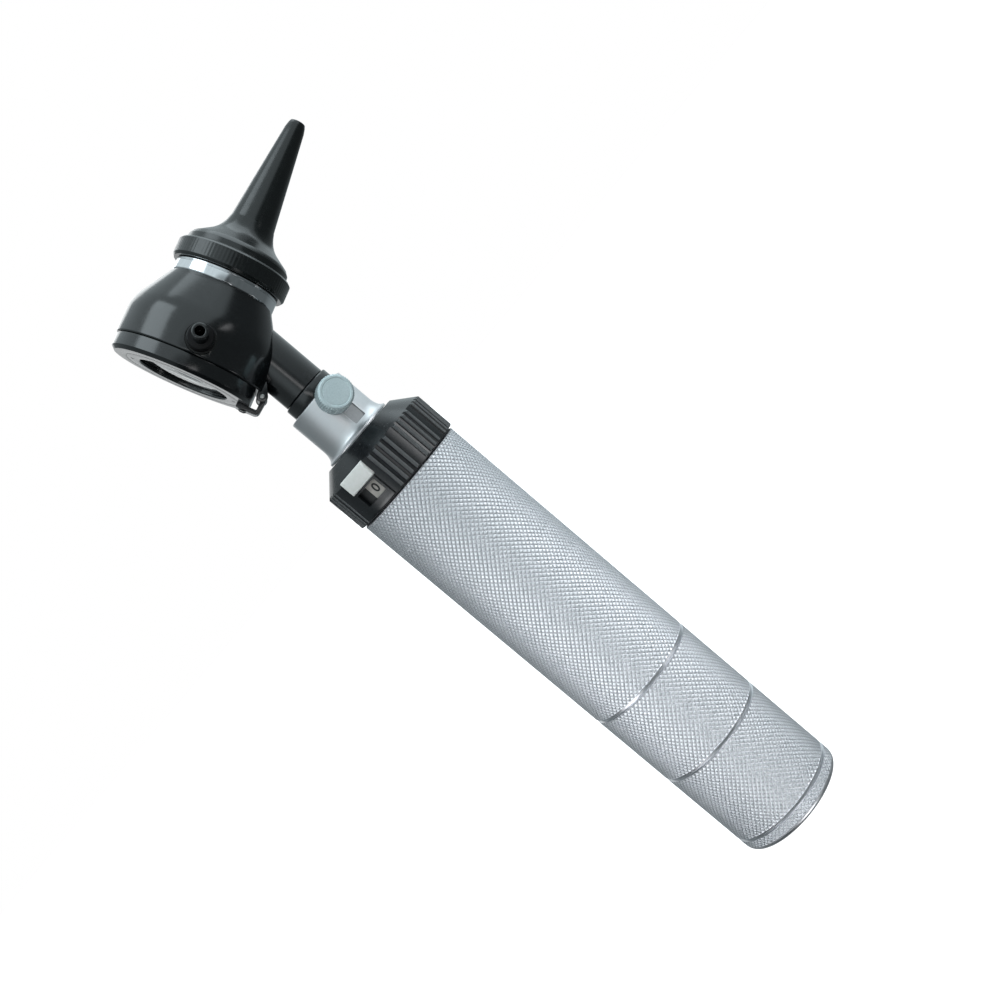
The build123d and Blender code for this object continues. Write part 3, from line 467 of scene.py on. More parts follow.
# Half the flat top of a diamond, as a share of half the pitch.
KNURL_CREST = 0.58
GROOVE_HALF = 0.5
GROOVE_DEPTH = 0.5
LIP_STEP = 0.01
LIP_OVERLAP = 0.02
TUBE_GROOVE = 48.5
CAP_GROOVE = 4.3
EDGE_ROUND = 1.5
CELL_GAP = 0.35
SPIGOT_STEP = 0.9
CAP_THREAD_STEP = 0.81
THREAD_PITCH = 1.5
THREAD_DEPTH = 0.35
THREAD_STEPS = 8
THREAD_END = 0.4
BASE_RECESS = 0.18

tube_r, tube_low, tube_top = reach("handle_tube")
knurl_foot_r = tube_r - KNURL_DEPTH
groove_r = tube_r - GROOVE_DEPTH
seam = reach("end_cap")[2]
bore_r = reach("battery_lower")[0] + CELL_GAP
spigot_r = tube_r - SPIGOT_STEP
cap_thread_r = bore_r + CAP_THREAD_STEP
half_column = math.pi / KNURL_COLUMNS


def knurled(name, stretches):
    """A turned sleeve whose outline is a list of stretches: a (radius, height) ring,
    ("knurl", from, to) for diamonds between two heights, or ("thread", from, to, radius)."""

    def ring_angles():
        for column in range(KNURL_COLUMNS):
            for offset in (-1, -KNURL_CREST, KNURL_CREST):
                yield (2 * column + offset) * half_column

    def point(shell, angle, radius, height):
        return shell.verts.new((radius * math.cos(angle), radius * math.sin(angle), height))

    def ring(shell, radii, height):
        angles = list(ring_angles())
        return [point(shell, angle, radii[n % 3], height) for n, angle in enumerate(angles)]

    def diamonds(shell, bottom, top):
        """Staggered truncated pyramids; half ones close the band at both ends."""
        rows = max(2, 2 * round(abs(top - bottom) / KNURL_PITCH))
        step = (top - bottom) / rows
        edge_radii = (knurl_foot_r, tube_r, tube_r)
        first, last = ring(shell, edge_radii, bottom), ring(shell, edge_radii, top)
        corners = {}
        for row in range(1, rows):
            for place in range(2 * KNURL_COLUMNS):
                if (row + place) % 2:
                    height = bottom + row * step
                    corners[place, row] = point(shell, place * half_column, knurl_foot_r, height)
        for column in range(KNURL_COLUMNS):
            corners[(2 * column - 1) % (2 * KNURL_COLUMNS), 0] = first[3 * column]
            corners[(2 * column - 1) % (2 * KNURL_COLUMNS), rows] = last[3 * column]

        def corner(place, row):
            return corners[place % (2 * KNURL_COLUMNS), row]

        for row in range(1, rows):
            height = bottom + row * step
            for place in range(row % 2, 2 * KNURL_COLUMNS, 2):
                angle = place * half_column
                crest = []
                feet = []
                for across, along in ((-1, 0), (0, -1), (1, 0), (0, 1)):
                    turned = angle + across * KNURL_CREST * half_column
                    crest.append(point(shell, turned, tube_r, height + along * KNURL_CREST * step))
                    feet.append(corner(place + across, row + along))
                shell.faces.new(crest)
                bridge(shell, feet, crest)
        for column in range(KNURL_COLUMNS):
            for row, inner, edge in ((0, 1, first), (rows, rows - 1, last)):
                left, rise, fall = (edge[3 * column + n] for n in range(3))
                right = edge[(3 * column + 3) % len(edge)]
                apex = corner(2 * column, inner)
                tip_height = bottom + (row + (inner - row) * KNURL_CREST) * step
                tip = point(shell, 2 * column * half_column, tube_r, tip_height)
                shell.faces.new((left, rise, tip, apex))
                shell.faces.new((rise, fall, tip))
                shell.faces.new((fall, right, apex, tip))
        return first, last

    def thread(shell, start, end, radius):
        """A helical thread, faded out at both ends."""
        count = round(abs(end - start) / THREAD_PITCH * THREAD_STEPS)
        rings = []
        for row in range(count + 1):
            height = start + (end - start) * row / count
            fade = min(1, row / THREAD_STEPS, (count - row) / THREAD_STEPS)
            turn = []
            for angle in ring_angles():
                phase = 2 * math.pi * height / THREAD_PITCH - angle
                cut = THREAD_DEPTH * fade * (1 - math.cos(phase)) / 2
                turn.append(point(shell, angle, radius - cut, height))
            rings.append(turn)
        for lower, upper in zip(rings, rings[1:]):
            bridge(shell, lower, upper)
        return rings[0], rings[-1]

    def fill(shell):
        ends = []
        for stretch in stretches:
            if stretch[0] == "knurl":
                ends.append(diamonds(shell, *stretch[1:]))
            elif stretch[0] == "thread":
                ends.append(thread(shell, *stretch[1:]))
            elif stretch[0] == 0:
                ends.append(([point(shell, 0, 0, stretch[1])] * (3 * KNURL_COLUMNS),) * 2)
            else:
                round_ring = ring(shell, (stretch[0],) * 3, stretch[1])
                ends.append((round_ring, round_ring))
        for index, (first, _) in enumerate(ends):
            last = ends[index - 1][1]
            if first[0] is not first[1] or last[0] is not last[1]:
                bridge(shell, last, first)

    return build(name, fill, HANDLE)


def groove(height):
    """The rings of a shallow turned groove, from its upper edge down."""
    lip_r = knurl_foot_r - LIP_STEP
    return [
        (lip_r, height + GROOVE_HALF - LIP_OVERLAP),
        (groove_r, height + GROOVE_HALF / 2),
        (groove_r, height - GROOVE_HALF / 2),
        (lip_r, height - GROOVE_HALF + LIP_OVERLAP),
    ]


def rounded_edge(radius, height, size, steps=6):
    """Rings of a round from the side (radius, height) down to the flat face below."""
    rings = []
    for step in range(steps + 1):
        angle = math.pi / 2 * step / steps
        rings.append((radius - size * (1 - math.cos(angle)), height - size * math.sin(angle)))
    return rings


handle_tube = knurled(
    "handle_tube_knurled",
    [
        ("knurl", tube_top - 0.25, TUBE_GROOVE + GROOVE_HALF),
        *groove(TUBE_GROOVE),
        ("knurl", TUBE_GROOVE - GROOVE_HALF, seam + 0.55),
        (groove_r, seam + 0.3),
        (groove_r, seam + 0.05),
        (spigot_r, seam + 0.05),
        ("thread", seam - THREAD_END, tube_low + THREAD_END, spigot_r),
        (spigot_r - 0.3, tube_low),
        (bore_r, tube_low),
        (bore_r, tube_top),
        (tube_r - 0.4, tube_top),
    ],
)
install(handle_tube, "knurled", "knurled_metal", "handle_tube")

cap_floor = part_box("battery_spring")[0].z / MM - 0.02
end_cap = knurled(
    "end_cap_knurled",
    [
        (cap_thread_r, seam),
        (groove_r, seam),
        (groove_r, seam - 0.25),
        ("knurl", seam - 0.5, CAP_GROOVE + GROOVE_HALF),
        *groove(CAP_GROOVE),
        ("knurl", CAP_GROOVE - GROOVE_HALF, EDGE_ROUND + 0.05),
        *rounded_edge(tube_r - KNURL_DEPTH / 2, EDGE_ROUND, EDGE_ROUND),
        (9.0, 0),
        (8.6, BASE_RECESS),
        (0, BASE_RECESS),
        (0, cap_floor),
        (bore_r, cap_floor),
        (bore_r, tube_low - THREAD_END),
        (cap_thread_r, tube_low - THREAD_END),
    ],
)
install(end_cap, "knurled", "knurled_metal", "end_cap")


FACE_MARGIN = 0.02


def in_groove(point):
    """The turned grooves, below the foot of the knurl, are left bright."""
    return groove_r - FACE_MARGIN < math.hypot(point.x, point.y) < knurl_foot_r - FACE_MARGIN


def on_flank(point):
    """The sloping sides of the diamonds, painted darker as the shade in the knurl's valleys."""
    return knurl_foot_r - FACE_MARGIN < math.hypot(point.x, point.y) < tube_r - KNURL_DEPTH / 4


for sleeve in (handle_tube, end_cap):
    repaint(sleeve, "turned", in_groove)
    # The flanks are painted darker, as the shade in the knurl's valleys.
    repaint(sleeve, "flank", on_flank)


# --- switch collar ---
RIB_COUNT = 55
RIB_STEPS = 12
RIB_DEPTH = 0.55
RIB_WIDTH = 0.62
RIB_GROUP = 5
RIB_START = 11.0
RIB_ROOT_MARGIN = 0.1
COLLAR_CONE_R = 10.65
COLLAR_CONE_HEIGHT = 4.4
COLLAR_BORE_R = 8.68
SCALE_GAP = 0.1
PANEL = (-64.0, -24.0)
BUTTON_SIZE = (7.4, 4.1)
BUTTON_GAP = 0.1
WINDOW_SIZE = (6.2, 3.6)
WINDOW_TURN = -1.0
WINDOW_Z = 123.4

collar_r, collar_low, collar_top = reach("switch_collar")
collar_shoulder = collar_top - COLLAR_CONE_HEIGHT
cone_rise = (collar_top - collar_shoulder) / (collar_r - COLLAR_CONE_R)
cavity_r = reach("scale_ring")[0] + SCALE_GAP
cavity_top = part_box("wiper")[1].z / MM
button_centre = centre("lock_button")
button_azimuth = azimuth_of(button_centre)
button_place = radial(button_azimuth, button_centre.z)
button_low, button_high = reach("lock_button", button_place)[1:]
window_azimuth = button_azimuth + WINDOW_TURN
window_place = radial(window_azimuth, WINDOW_Z)


def collar_ripple(angle, radius, station):
    """Half-round ribs in groups of four with a gap between; none on the button's panel."""
    azimuth = (math.degrees(angle) + 90 + 180) % 360 - 180
    if PANEL[0] < azimuth < PANEL[1] or radius < collar_r - RIB_DEPTH - RIB_ROOT_MARGIN:
        return radius
    place = (azimuth - RIB_START) * RIB_COUNT / 360
    across = abs(place - round(place)) / (RIB_WIDTH / 2)
    crest = 0 if across > 1 or round(place) % RIB_GROUP == 0 else math.sqrt(1 - across**2)
    return min(radius, collar_r - RIB_DEPTH * (1 - crest))


rib_rows = [(collar_r, collar_low + (collar_shoulder - collar_low) * part, 0) for part in (0.1, 0.4, 0.7)]
switch_collar = lathe(
    "switch_collar_ribbed",
    [
        (cavity_r, collar_low, 0.1),
        (collar_r, collar_low, 0.25),
        *rib_rows,
        (collar_r, collar_shoulder, 0.25),
        *[(collar_r - drop, collar_shoulder + drop * cone_rise, 0) for drop in (0.2, 0.35, RIB_DEPTH, 0.7)],
        (COLLAR_CONE_R, collar_top, 0.3),
        (COLLAR_BORE_R, collar_top, 0.1),
        (COLLAR_BORE_R, cavity_top, 0),
        (cavity_r, cavity_top, 0),
    ],
    steps=RIB_COUNT * RIB_STEPS,
    ripple=collar_ripple,
)
button_hole = slab(
    "cutter",
    rectangle(*(side + 2 * BUTTON_GAP for side in BUTTON_SIZE), 0.35),
    10,
    shifted(button_place, 0, 0, collar_r - 0.5),
)
window_hole = slab(
    "cutter",
    rectangle(*WINDOW_SIZE, 0.25),
    6,
    shifted(window_place, 0, 0, cavity_r + 1.5),
)
carve(switch_collar, "DIFFERENCE", button_hole, window_hole)
install(switch_collar, "collar", "collar_black", "switch_collar")


def on_rib(point):
    """The crests of the ribs, painted a lighter grey as the sheen they catch from the lights."""
    in_height = collar_low + 0.2 < point.z < collar_shoulder + 0.1
    proud = math.hypot(point.x, point.y) > collar_r - RIB_DEPTH / 2
    return proud and in_height and not PANEL[0] < azimuth_of(point) < PANEL[1]


# The rib crests get painted sheen: a lighter grey in place of their highlights.
repaint(switch_collar, "rib_sheen", on_rib)

lock_button = slab(
    "lock_button_cap",
    rectangle(*BUTTON_SIZE, 0.3),
    button_high - button_low,
    shifted(button_place, 0, 0, (button_low + button_high) / 2),
)
install(bevelled(lock_button, 0.3), "ivory", "button_white", "lock_button")

SCALE_WALL = 1.35
scale_r, scale_low, scale_top = reach("scale_ring")
scale_ring = lathe(
    "scale_ring_turned",
    [
        (scale_r - SCALE_WALL, scale_low, 0.05),
        (scale_r, scale_low, 0.1),
        (scale_r, scale_top, 0.1),
        (scale_r - SCALE_WALL, scale_top, 0.05),
    ],
)
install(scale_ring, "scale", "scale_grey", "scale_ring")

# The brightness scale: a pale field on the ring for each plain number, upright with +Z.
DIGIT_HEIGHT = 2.3
DIGIT_COUNT = 4
DIGIT_STEP = 40.0
PRINT_THICKNESS = 0.04
LABEL_SIZE = (3.7, 3.9)
LABEL_OFFSET = 4.8
LABEL_STRIPS = 12
TEXT_SCALE = 1.35
TEXT_WEIGHT = 0.06
TEXT_MERGE = 1e-4


def wrapped(name, flat, azimuth, level, finish):
    """Bends a flat bmesh (mm, centred) round the scale ring and mounts it on that ring."""
    for vertex in flat.verts:
        angle = math.radians(azimuth - 90) + vertex.co.x / scale_r
        radius = scale_r + level + vertex.co.z
        x, y = radius * math.cos(angle), radius * math.sin(angle)
        vertex.co = Vector((x, y, WINDOW_Z + vertex.co.y)) * MM
    mesh = bpy.data.meshes.new(name)
    flat.to_mesh(mesh)
    flat.free()
    piece = add_object(name, mesh)
    piece.data.materials.append(FINISHES[finish])
    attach(piece, BODY_OF["scale_ring"])


def printed_field(text, azimuth):
    """A thin rounded label, cut across into strips so that it can bend."""
    width, height = LABEL_SIZE
    section = [(-0.5, 0), (0.5, 0), (0.5, 1), (-0.5, 1)]
    flat = bmesh.new()
    rings = []
    for index in range(LABEL_STRIPS + 1):
        x = width * (index / LABEL_STRIPS - 0.5)
        rings.append([flat.verts.new((x, y * height, z * PRINT_THICKNESS)) for y, z in section])
    for lower, upper in zip(rings, rings[1:]):
        bridge(flat, lower, upper)
    flat.faces.new(rings[0][::-1])
    flat.faces.new(rings[-1])
    bmesh.ops.recalc_face_normals(flat, faces=flat.faces)
    wrapped(f"scale_field_{text}", flat, azimuth, 0, "label")


def printed_digit(text, azimuth):
    letters = bpy.data.curves.new("digit", "FONT")
    letters.body = text
    letters.align_x = "CENTER"
    letters.align_y = "CENTER"
    letters.size = DIGIT_HEIGHT * TEXT_SCALE
    letters.extrude = PRINT_THICKNESS / 2
    letters.offset = TEXT_WEIGHT
    letters.resolution_u = 6
    source = add_object("digit", letters)
    bpy.context.view_layer.update()
    outline = bpy.data.meshes.new_from_object(source)
    bpy.data.objects.remove(source)
    flat = bmesh.new()
    flat.from_mesh(outline)
    bpy.data.meshes.remove(outline)
    bmesh.ops.remove_doubles(flat, verts=flat.verts, dist=TEXT_MERGE)
    bmesh.ops.subdivide_edges(flat, edges=flat.edges, cuts=1)
    wrapped(f"scale_digit_{text}", flat, azimuth, 1.5 * PRINT_THICKNESS, "ink")


for digit in range(DIGIT_COUNT):
    digit_azimuth = window_azimuth + LABEL_OFFSET + digit * DIGIT_STEP
    printed_field(str(digit), digit_azimuth)
    printed_digit(str(digit), digit_azimuth)


# --- neck and clamp screw ---
NECK_R = 8.0
FLARE_R = 9.3
FLARE_RISE = 3.2
FLARE_GAP = 0.12
SOCKET_R = 6.05
SOCKET_GAP = 0.3
HUB_R = 8.6
SLOT_AZIMUTH = 16.0
SLOT_REACH = 15.0
SLOT_WIDTH = 3.4
SLOT_FLOOR = 7.55
SLOT_SPAN = (135.7, 141.5)
SLOT_MARGIN = 0.01
BOSS_R = 2.7
BOSS_ROOT = 6.65
BOSS_FACE = 8.95
SCREW_HOLE_R = 1.56
SHANK_R = 1.5
KNOB_BACK = 9.3
KNOB_RIM_DEPTH = 0.4
KNOB_TEETH = 44
KNOB_TOOTH_DEPTH = 0.16
KNOB_TOOTH_STEPS = 8

neck_low, neck_top = reach("neck_socket")[1:]
socket_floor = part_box("stem_ferrule")[0].z / MM - SOCKET_GAP
hub_bore = reach("insulator_sleeve")[0]
flare_base = collar_top + FLARE_GAP
screw_centre = centre("thumb_screw")
screw_place = radial(azimuth_of(screw_centre), screw_centre.z)
knob_r, screw_tip, knob_face = reach("thumb_screw", screw_place)

flare = smooth_run(
    [
        (FLARE_R, flare_base + 0.5),
        (FLARE_R - 0.72, flare_base + 1.15),
        (NECK_R + 0.17, flare_base + 2.2),
        (NECK_R, flare_base + FLARE_RISE),
    ]
)
neck_socket = lathe(
    "neck_socket_turned",
    [
        (hub_bore, neck_low, 0.1),
        (HUB_R, neck_low, 0.1),
        (HUB_R, flare_base, 0),
        (FLARE_R, flare_base, 0.12),
        *flare,
        (NECK_R, neck_top, 0.35),
        (SOCKET_R, neck_top, 0.25),
        (SOCKET_R, socket_floor, 0),
        (hub_bore, socket_floor, 0.1),
    ],
)
boss = lathe(
    "cutter",
    [(0, BOSS_ROOT, 0), (BOSS_R, BOSS_ROOT, 0), (BOSS_R, BOSS_FACE, 0.15), (0, BOSS_FACE, 0)],
    screw_place,
    SMALL,
)
carve(neck_socket, "UNION", boss)
slot_cut = slab(
    "cutter",
    rectangle(SLOT_WIDTH, SLOT_SPAN[1] - SLOT_SPAN[0], 0.3),
    4,
    shifted(radial(SLOT_AZIMUTH, sum(SLOT_SPAN) / 2), 0, 0, SLOT_FLOOR + 2),
)
carve(neck_socket, "DIFFERENCE", slot_cut, drum(SCREW_HOLE_R, 0, tube_r, screw_place))
install(neck_socket, "neck", "satin_metal", "neck_socket")


def in_slot(point):
    """The floor and walls of the slot, painted darker as the shade beside the knob."""
    return (
        SLOT_SPAN[0] - SLOT_MARGIN < point.z < SLOT_SPAN[1] + SLOT_MARGIN
        and abs(azimuth_of(point) - SLOT_AZIMUTH) < SLOT_REACH
        and SOCKET_R + 0.1 < math.hypot(point.x, point.y) < NECK_R - 0.05
    )


# The slot's floor and walls are painted darker, as shade.
repaint(neck_socket, "slot_shade", in_slot)


def knob_ripple(angle, radius, station):
    """Fine teeth round the knob's rim."""
    if radius < knob_r - KNOB_RIM_DEPTH:
        return radius
    tooth = 1 - abs(math.cos(angle * KNOB_TEETH / 2))
    return radius - KNOB_TOOTH_DEPTH * tooth


thumb_screw = lathe(
    "thumb_screw_knurled",
    [
        (0, screw_tip, 0),
        (SHANK_R, screw_tip, 0.2),
        (SHANK_R, KNOB_BACK, 0),
        (knob_r - 0.5, KNOB_BACK, 0.1),
        (knob_r, KNOB_BACK + 0.4, 0.15),
        (knob_r, KNOB_BACK + 1.6, 0),
        (knob_r, KNOB_BACK + 2.8, 0),
        (knob_r, knob_face - 0.45, 0.25),
        (knob_r - 0.5, knob_face, 0.2),
        (knob_r - 0.95, knob_face, 0.05),
        (knob_r - 1.1, knob_face - 0.1, 0.05),
        (knob_r - 1.25, knob_face - 0.05, 0.05),
        (0, knob_face - 0.02, 0),
    ],
    screw_place,
    steps=KNOB_TEETH * KNOB_TOOTH_STEPS,
    ripple=knob_ripple,
)
install(thumb_screw, "screw", "screw_metal", "thumb_screw")

# --- stem ---
STEM_TAIL_R = 5.2
STEM_BORE_R = 4.2
STEM_TOP = 165.6
FERRULE_GAP = 0.1
SLIDING_GAP = 0.05

ferrule_r, ferrule_low, ferrule_top = reach("stem_ferrule")
stem_r, stem_low = reach("stem_tube")[:2]
ferrule_shoulder = neck_top + FERRULE_GAP
ferrule_tail_r = SOCKET_R - SLIDING_GAP
stem_ferrule = lathe(
    "stem_ferrule_turned",
    [
        (STEM_BORE_R, ferrule_low, 0.3),
        (ferrule_tail_r, ferrule_low, 0.3),
        (ferrule_tail_r, ferrule_shoulder, 0),
        (ferrule_r, ferrule_shoulder, 0.12),
        (ferrule_r, ferrule_top, 0.35),
        (STEM_TAIL_R, ferrule_top, 0),
        (STEM_TAIL_R, stem_low, 0),
        (STEM_BORE_R, stem_low, 0),
    ],
)
install(stem_ferrule, "head", "head_black", "stem_ferrule")

# --- casing ---
CASE_LIP_R = 14.1
CASE_INNER_R = 15.6
CASE_FRONT_R = 12.0
CASE_R = 17.4
CASE_FRONT = 5.0
CASE_RIM = 0.45
PLATE_GAP = 0.07
CAVITY_SHOULDER = -5.4
CAVITY_FRONT = 3.2
CONE_SLOPE = math.tan(math.radians(30))
SEAT_HOLE_R = 8.5
SPOT_FACE_R = 3.5
SPOT_FACE = 16.9
PORT_HOLE_R = 2.0
PIN_R = 0.55
PIN_GAP = 0.05
EAR_R = 1.3
EAR_SPAN = (2.6, 3.9)
EAR_HUB_GAP = 0.25

case_rear = reach("lens_plate", HEAD)[2] + PLATE_GAP
cavity_wall = [
    (CASE_LIP_R, case_rear + 1.4, 0.1),
    (CASE_INNER_R, case_rear + 2.9, 0.3),
    (CASE_INNER_R, CAVITY_SHOULDER, 0.6),
    (CASE_INNER_R - CONE_SLOPE * (CAVITY_FRONT - CAVITY_SHOULDER), CAVITY_FRONT, 0.2),
]
cavity_outline = [
    (0, case_rear - 0.5, 0),
    (CASE_LIP_R, case_rear - 0.5, 0),
    *cavity_wall,
    (0, CAVITY_FRONT, 0),
]
stem_tube = lathe(
    "stem_tube_enamelled",
    [
        (STEM_BORE_R, stem_low, 0),
        (STEM_TAIL_R, stem_low, 0),
        (STEM_TAIL_R, ferrule_top, 0),
        (stem_r - 0.25, ferrule_top, 0),
        (stem_r, ferrule_top + 0.25, 0),
        (stem_r, STEM_TOP, 0),
        (STEM_BORE_R, STEM_TOP, 0),
    ],
)
carve(stem_tube, "DIFFERENCE", lathe("cutter", cavity_outline, HEAD))
install(stem_tube, "head", "head_black", "stem_tube")

shoulder_curve = smooth_run([(15.94, -2.0), (16.58, -3.3), (17.035, -4.6), (17.31, -5.9), (CASE_R, -7.2)])
head_body = lathe(
    "head_body_turned",
    [
        (SEAT_HOLE_R, CASE_FRONT, 0.1),
        (CASE_FRONT_R, CASE_FRONT, 0.2),
        (12.35, 4.3, 0.3),
        *shoulder_curve,
        (CASE_R, case_rear, CASE_RIM),
        (CASE_LIP_R, case_rear, 0.2),
        *cavity_wall,
        (SEAT_HOLE_R, CAVITY_FRONT, 0),
    ],
    HEAD,
)


# Side views of the head are drawn as (station, height above the head's axis) on HEAD_SIDE.
HEAD_SIDE = axes(head_origin, Vector((0, -1, 0)), head_axis)
pin_in_head = (HEAD.inverted() @ PIN).translation
pin_s, pin_p = pin_in_head.z, pin_in_head.x


def knuckle(radius, start, sweep, steps):
    """An arc round the hinge pin in the side view, angles in degrees."""
    angles = [math.radians(start + sweep * step / steps) for step in range(steps + 1)]
    return [(pin_s + radius * math.cos(angle), pin_p + radius * math.sin(angle)) for angle in angles]


def ear(side):
    """A rounded hinge lug: a knuckle round the pin, running into the casing's rear edge."""
    outline = knuckle(EAR_R, 100, 200, 12)
    outline += [(pin_s + 3.6, -CASE_R + 0.3), (case_rear + 1.2, -CASE_INNER_R - 0.5)]
    place = shifted(HEAD_SIDE, 0, 0, side * sum(EAR_SPAN) / 2)
    return bevelled(slab("cutter", outline, EAR_SPAN[1] - EAR_SPAN[0], place), 0.15)


carve(head_body, "UNION", ear(-1), ear(1))
carve(
    head_body,
    "DIFFERENCE",
    drum(EAR_R + EAR_HUB_GAP, -EAR_SPAN[0], EAR_SPAN[0], PIN),
    drum(PIN_R, -6, 6, PIN),
    drum(stem_r, ferrule_top, STEM_TOP, HANDLE, SMALL),
    drum(SPOT_FACE_R, SPOT_FACE, SPOT_FACE + 4, PORT),
    drum(PORT_HOLE_R, 6, SPOT_FACE + 4, PORT),
)
install(head_body, "head", "head_black", "head_body")

# --- insufflation port ---
PORT_ROOT = 15.2
PORT_SHOULDER = SPOT_FACE + 0.4
PORT_BOSS_TOP = 20.3
PORT_TUBE_R = 1.8
PORT_NECK_R = 1.65
PORT_BORE_R = 1.05

port_r, _, port_tip = reach("insufflation_port", PORT)
insufflation_port = lathe(
    "insufflation_port_turned",
    [
        (PORT_BORE_R, PORT_ROOT, 0),
        (PORT_HOLE_R, PORT_ROOT, 0),
        (PORT_HOLE_R, PORT_SHOULDER, 0),
        (port_r, PORT_SHOULDER, 0.1),
        (port_r, PORT_BOSS_TOP, 0.4),
        (PORT_NECK_R, PORT_BOSS_TOP, 0.15),
        (PORT_NECK_R, port_tip - 2.6, 0.1),
        (PORT_TUBE_R, port_tip - 2.4, 0.1),
        (PORT_TUBE_R, port_tip, 0.35),
        (PORT_BORE_R, port_tip, 0.2),
    ],
    PORT,
    SMALL,
)
install(insufflation_port, "port", "head_black", "insufflation_port")
repaint(insufflation_port, "head", lambda point: -point.y > PORT_BOSS_TOP + 0.3)

# --- speculum seat and speculum ---
RING_FRONT = 8.06
VIEW_BORE_R = 7.0

ring_r, seat_tail, seat_tip = reach("speculum_seat", HEAD)
speculum_seat = lathe(
    "speculum_seat_chromed",
    [
        (VIEW_BORE_R, seat_tail, 0.1),
        (SEAT_HOLE_R, seat_tail, 0.1),
        (SEAT_HOLE_R, CASE_FRONT, 0),
        (ring_r - 0.25, CASE_FRONT, 0.1),
        (ring_r, CASE_FRONT + 0.35, 0.12),
        (ring_r, RING_FRONT - 0.75, 0.1),
        (ring_r - 0.12, RING_FRONT - 0.68, 0.05),
        (ring_r - 0.12, RING_FRONT - 0.52, 0.05),
        (ring_r, RING_FRONT - 0.45, 0.05),
        (ring_r, RING_FRONT, 0.25),
        (9.4, RING_FRONT, 0),
        (8.9, seat_tip, 0.2),
        (VIEW_BORE_R, seat_tip, 0.2),
    ],
    HEAD,
)
install(speculum_seat, "chrome", "bright_metal", "speculum_seat")

SPECULUM_TEETH = 96
TOOTH_STEPS = 6
TOOTH_DEPTH = 0.025
TOOTH_SPAN = (8.95, 12.05)
TOOTH_MARGIN = 0.06
speculum_r, speculum_base, speculum_tip = reach("speculum", HEAD)


def speculum_ripple(angle, radius, station):
    """Fine axial teeth on the widest tier, for turning the speculum off its seat."""
    if radius < speculum_r - TOOTH_MARGIN or not TOOTH_SPAN[0] < station < TOOTH_SPAN[1]:
        return radius
    return radius - TOOTH_DEPTH * (1 - math.cos(angle * SPECULUM_TEETH)) / 2


speculum_flare = smooth_run(
    [
        (11.45, 15.0),
        (9.45, 16.4),
        (7.6, 17.8),
        (6.45, 19.2),
        (5.76, 20.6),
        (5.33, 22.0),
        (5.06, 23.4),
        (3.7, 34.9),
        (2.33, 46.4),
    ],
    steps=6,
)
speculum = lathe(
    "speculum_moulded",
    [
        (9.46, speculum_base, 0),
        (12.9, speculum_base, 0.1),
        (speculum_r, 8.75, 0.1),
        *[(speculum_r, station, 0) for station in (8.96, 9.4, 11.6, 12.04)],
        (speculum_r, 12.2, 0.1),
        (12.85, 12.7, 0.15),
        (12.0, 12.95, 0.2),
        (11.9, 14.2, 0.15),
        *speculum_flare[1:],
        (2.05, 47.6, 0.2),
        (1.75, speculum_tip, 0.25),
        (1.4, speculum_tip, 0.12),
        (3.9, 23.5, 0),
        (4.4, 20.6, 0),
        (5.9, 18.0, 0.5),
        (7.9, 16.2, 0.5),
        (8.96, seat_tip + 0.3, 0.2),
    ],
    HEAD,
    steps=SPECULUM_TEETH * TOOTH_STEPS,
    ripple=speculum_ripple,
)
install(speculum, "speculum", "speculum_black", "speculum")

# --- hinged lens plate ---
PLATE_FLAT = -15.7
PLATE_BEVEL = 0.8
RING_POCKET = 1.15
FIT_GAP = 0.03
LENS_SEAT = -14.1
LENS_EDGE = 1.3
LENS_LIP_R = 9.4
LENS_STEPS = 12
VIEW_R = 10.3
SPANNER_P = 12.0
SPANNER_R = 0.45

plate_r, plate_rear, plate_front = reach("lens_plate", HEAD)
lens_ring_r, ring_rear, ring_seat = reach("lens_ring", HEAD)
lens_r, lens_back, lens_front = reach("lens", HEAD)
lens_plate = lathe(
    "lens_plate_turned",
    [
        (LENS_LIP_R, plate_front, 0.1),
        (plate_r, plate_front, 0.2),
        (plate_r, plate_rear + PLATE_BEVEL, 0.15),
        (plate_r - PLATE_BEVEL, plate_rear, 0.15),
        (lens_ring_r, plate_rear, 0.08),
        (lens_ring_r, plate_rear + RING_POCKET, 0),
        (lens_r + FIT_GAP, plate_rear + RING_POCKET, 0),
        (lens_r + FIT_GAP, LENS_SEAT, 0),
        (LENS_LIP_R, LENS_SEAT, 0.1),
    ],
    HEAD,
)
flat_cut = slab(
    "cutter",
    rectangle(plate_r, 3 * plate_r, 0),
    12,
    shifted(HEAD, PLATE_FLAT - plate_r / 2, 0, plate_rear),
)
carve(lens_plate, "DIFFERENCE", flat_cut)
install(lens_plate, "head", "head_black", "lens_plate")

lens_ring = lathe(
    "lens_ring_turned",
    [
        (VIEW_R, ring_rear, 0.35),
        (lens_ring_r - FIT_GAP, ring_rear, 0.12),
        (lens_ring_r - FIT_GAP, ring_seat, 0),
        (VIEW_R, ring_seat, 0),
    ],
    HEAD,
)
spanner_holes = [
    drum(SPANNER_R, ring_rear - 1, ring_seat - 0.2, shifted(HEAD, side * SPANNER_P, 0, 0), 32)
    for side in (-1, 1)
]
carve(lens_ring, "DIFFERENCE", *spanner_holes)
install(lens_ring, "head", "head_black", "lens_ring")

lens_sag = lens_front - LENS_SEAT
lens_curve = (LENS_LIP_R**2 + lens_sag**2) / (2 * lens_sag)


def lens_face(vertex, side):
    """Points of one spherical face from the axis (vertex) out to the edge."""
    tilt = math.asin(LENS_LIP_R / lens_curve)
    angles = [tilt * step / LENS_STEPS for step in range(LENS_STEPS + 1)]
    return [(lens_curve * math.sin(a), vertex - side * lens_curve * (1 - math.cos(a)), 0) for a in angles]


lens = lathe(
    "lens_ground",
    [
        *lens_face(lens_front, 1),
        (lens_r, LENS_SEAT, 0.08),
        (lens_r, LENS_SEAT - LENS_EDGE, 0.08),
        *reversed(lens_face(lens_back, -1)),
    ],
    HEAD,
)
install(lens, "glass", "clear_glass", "lens")

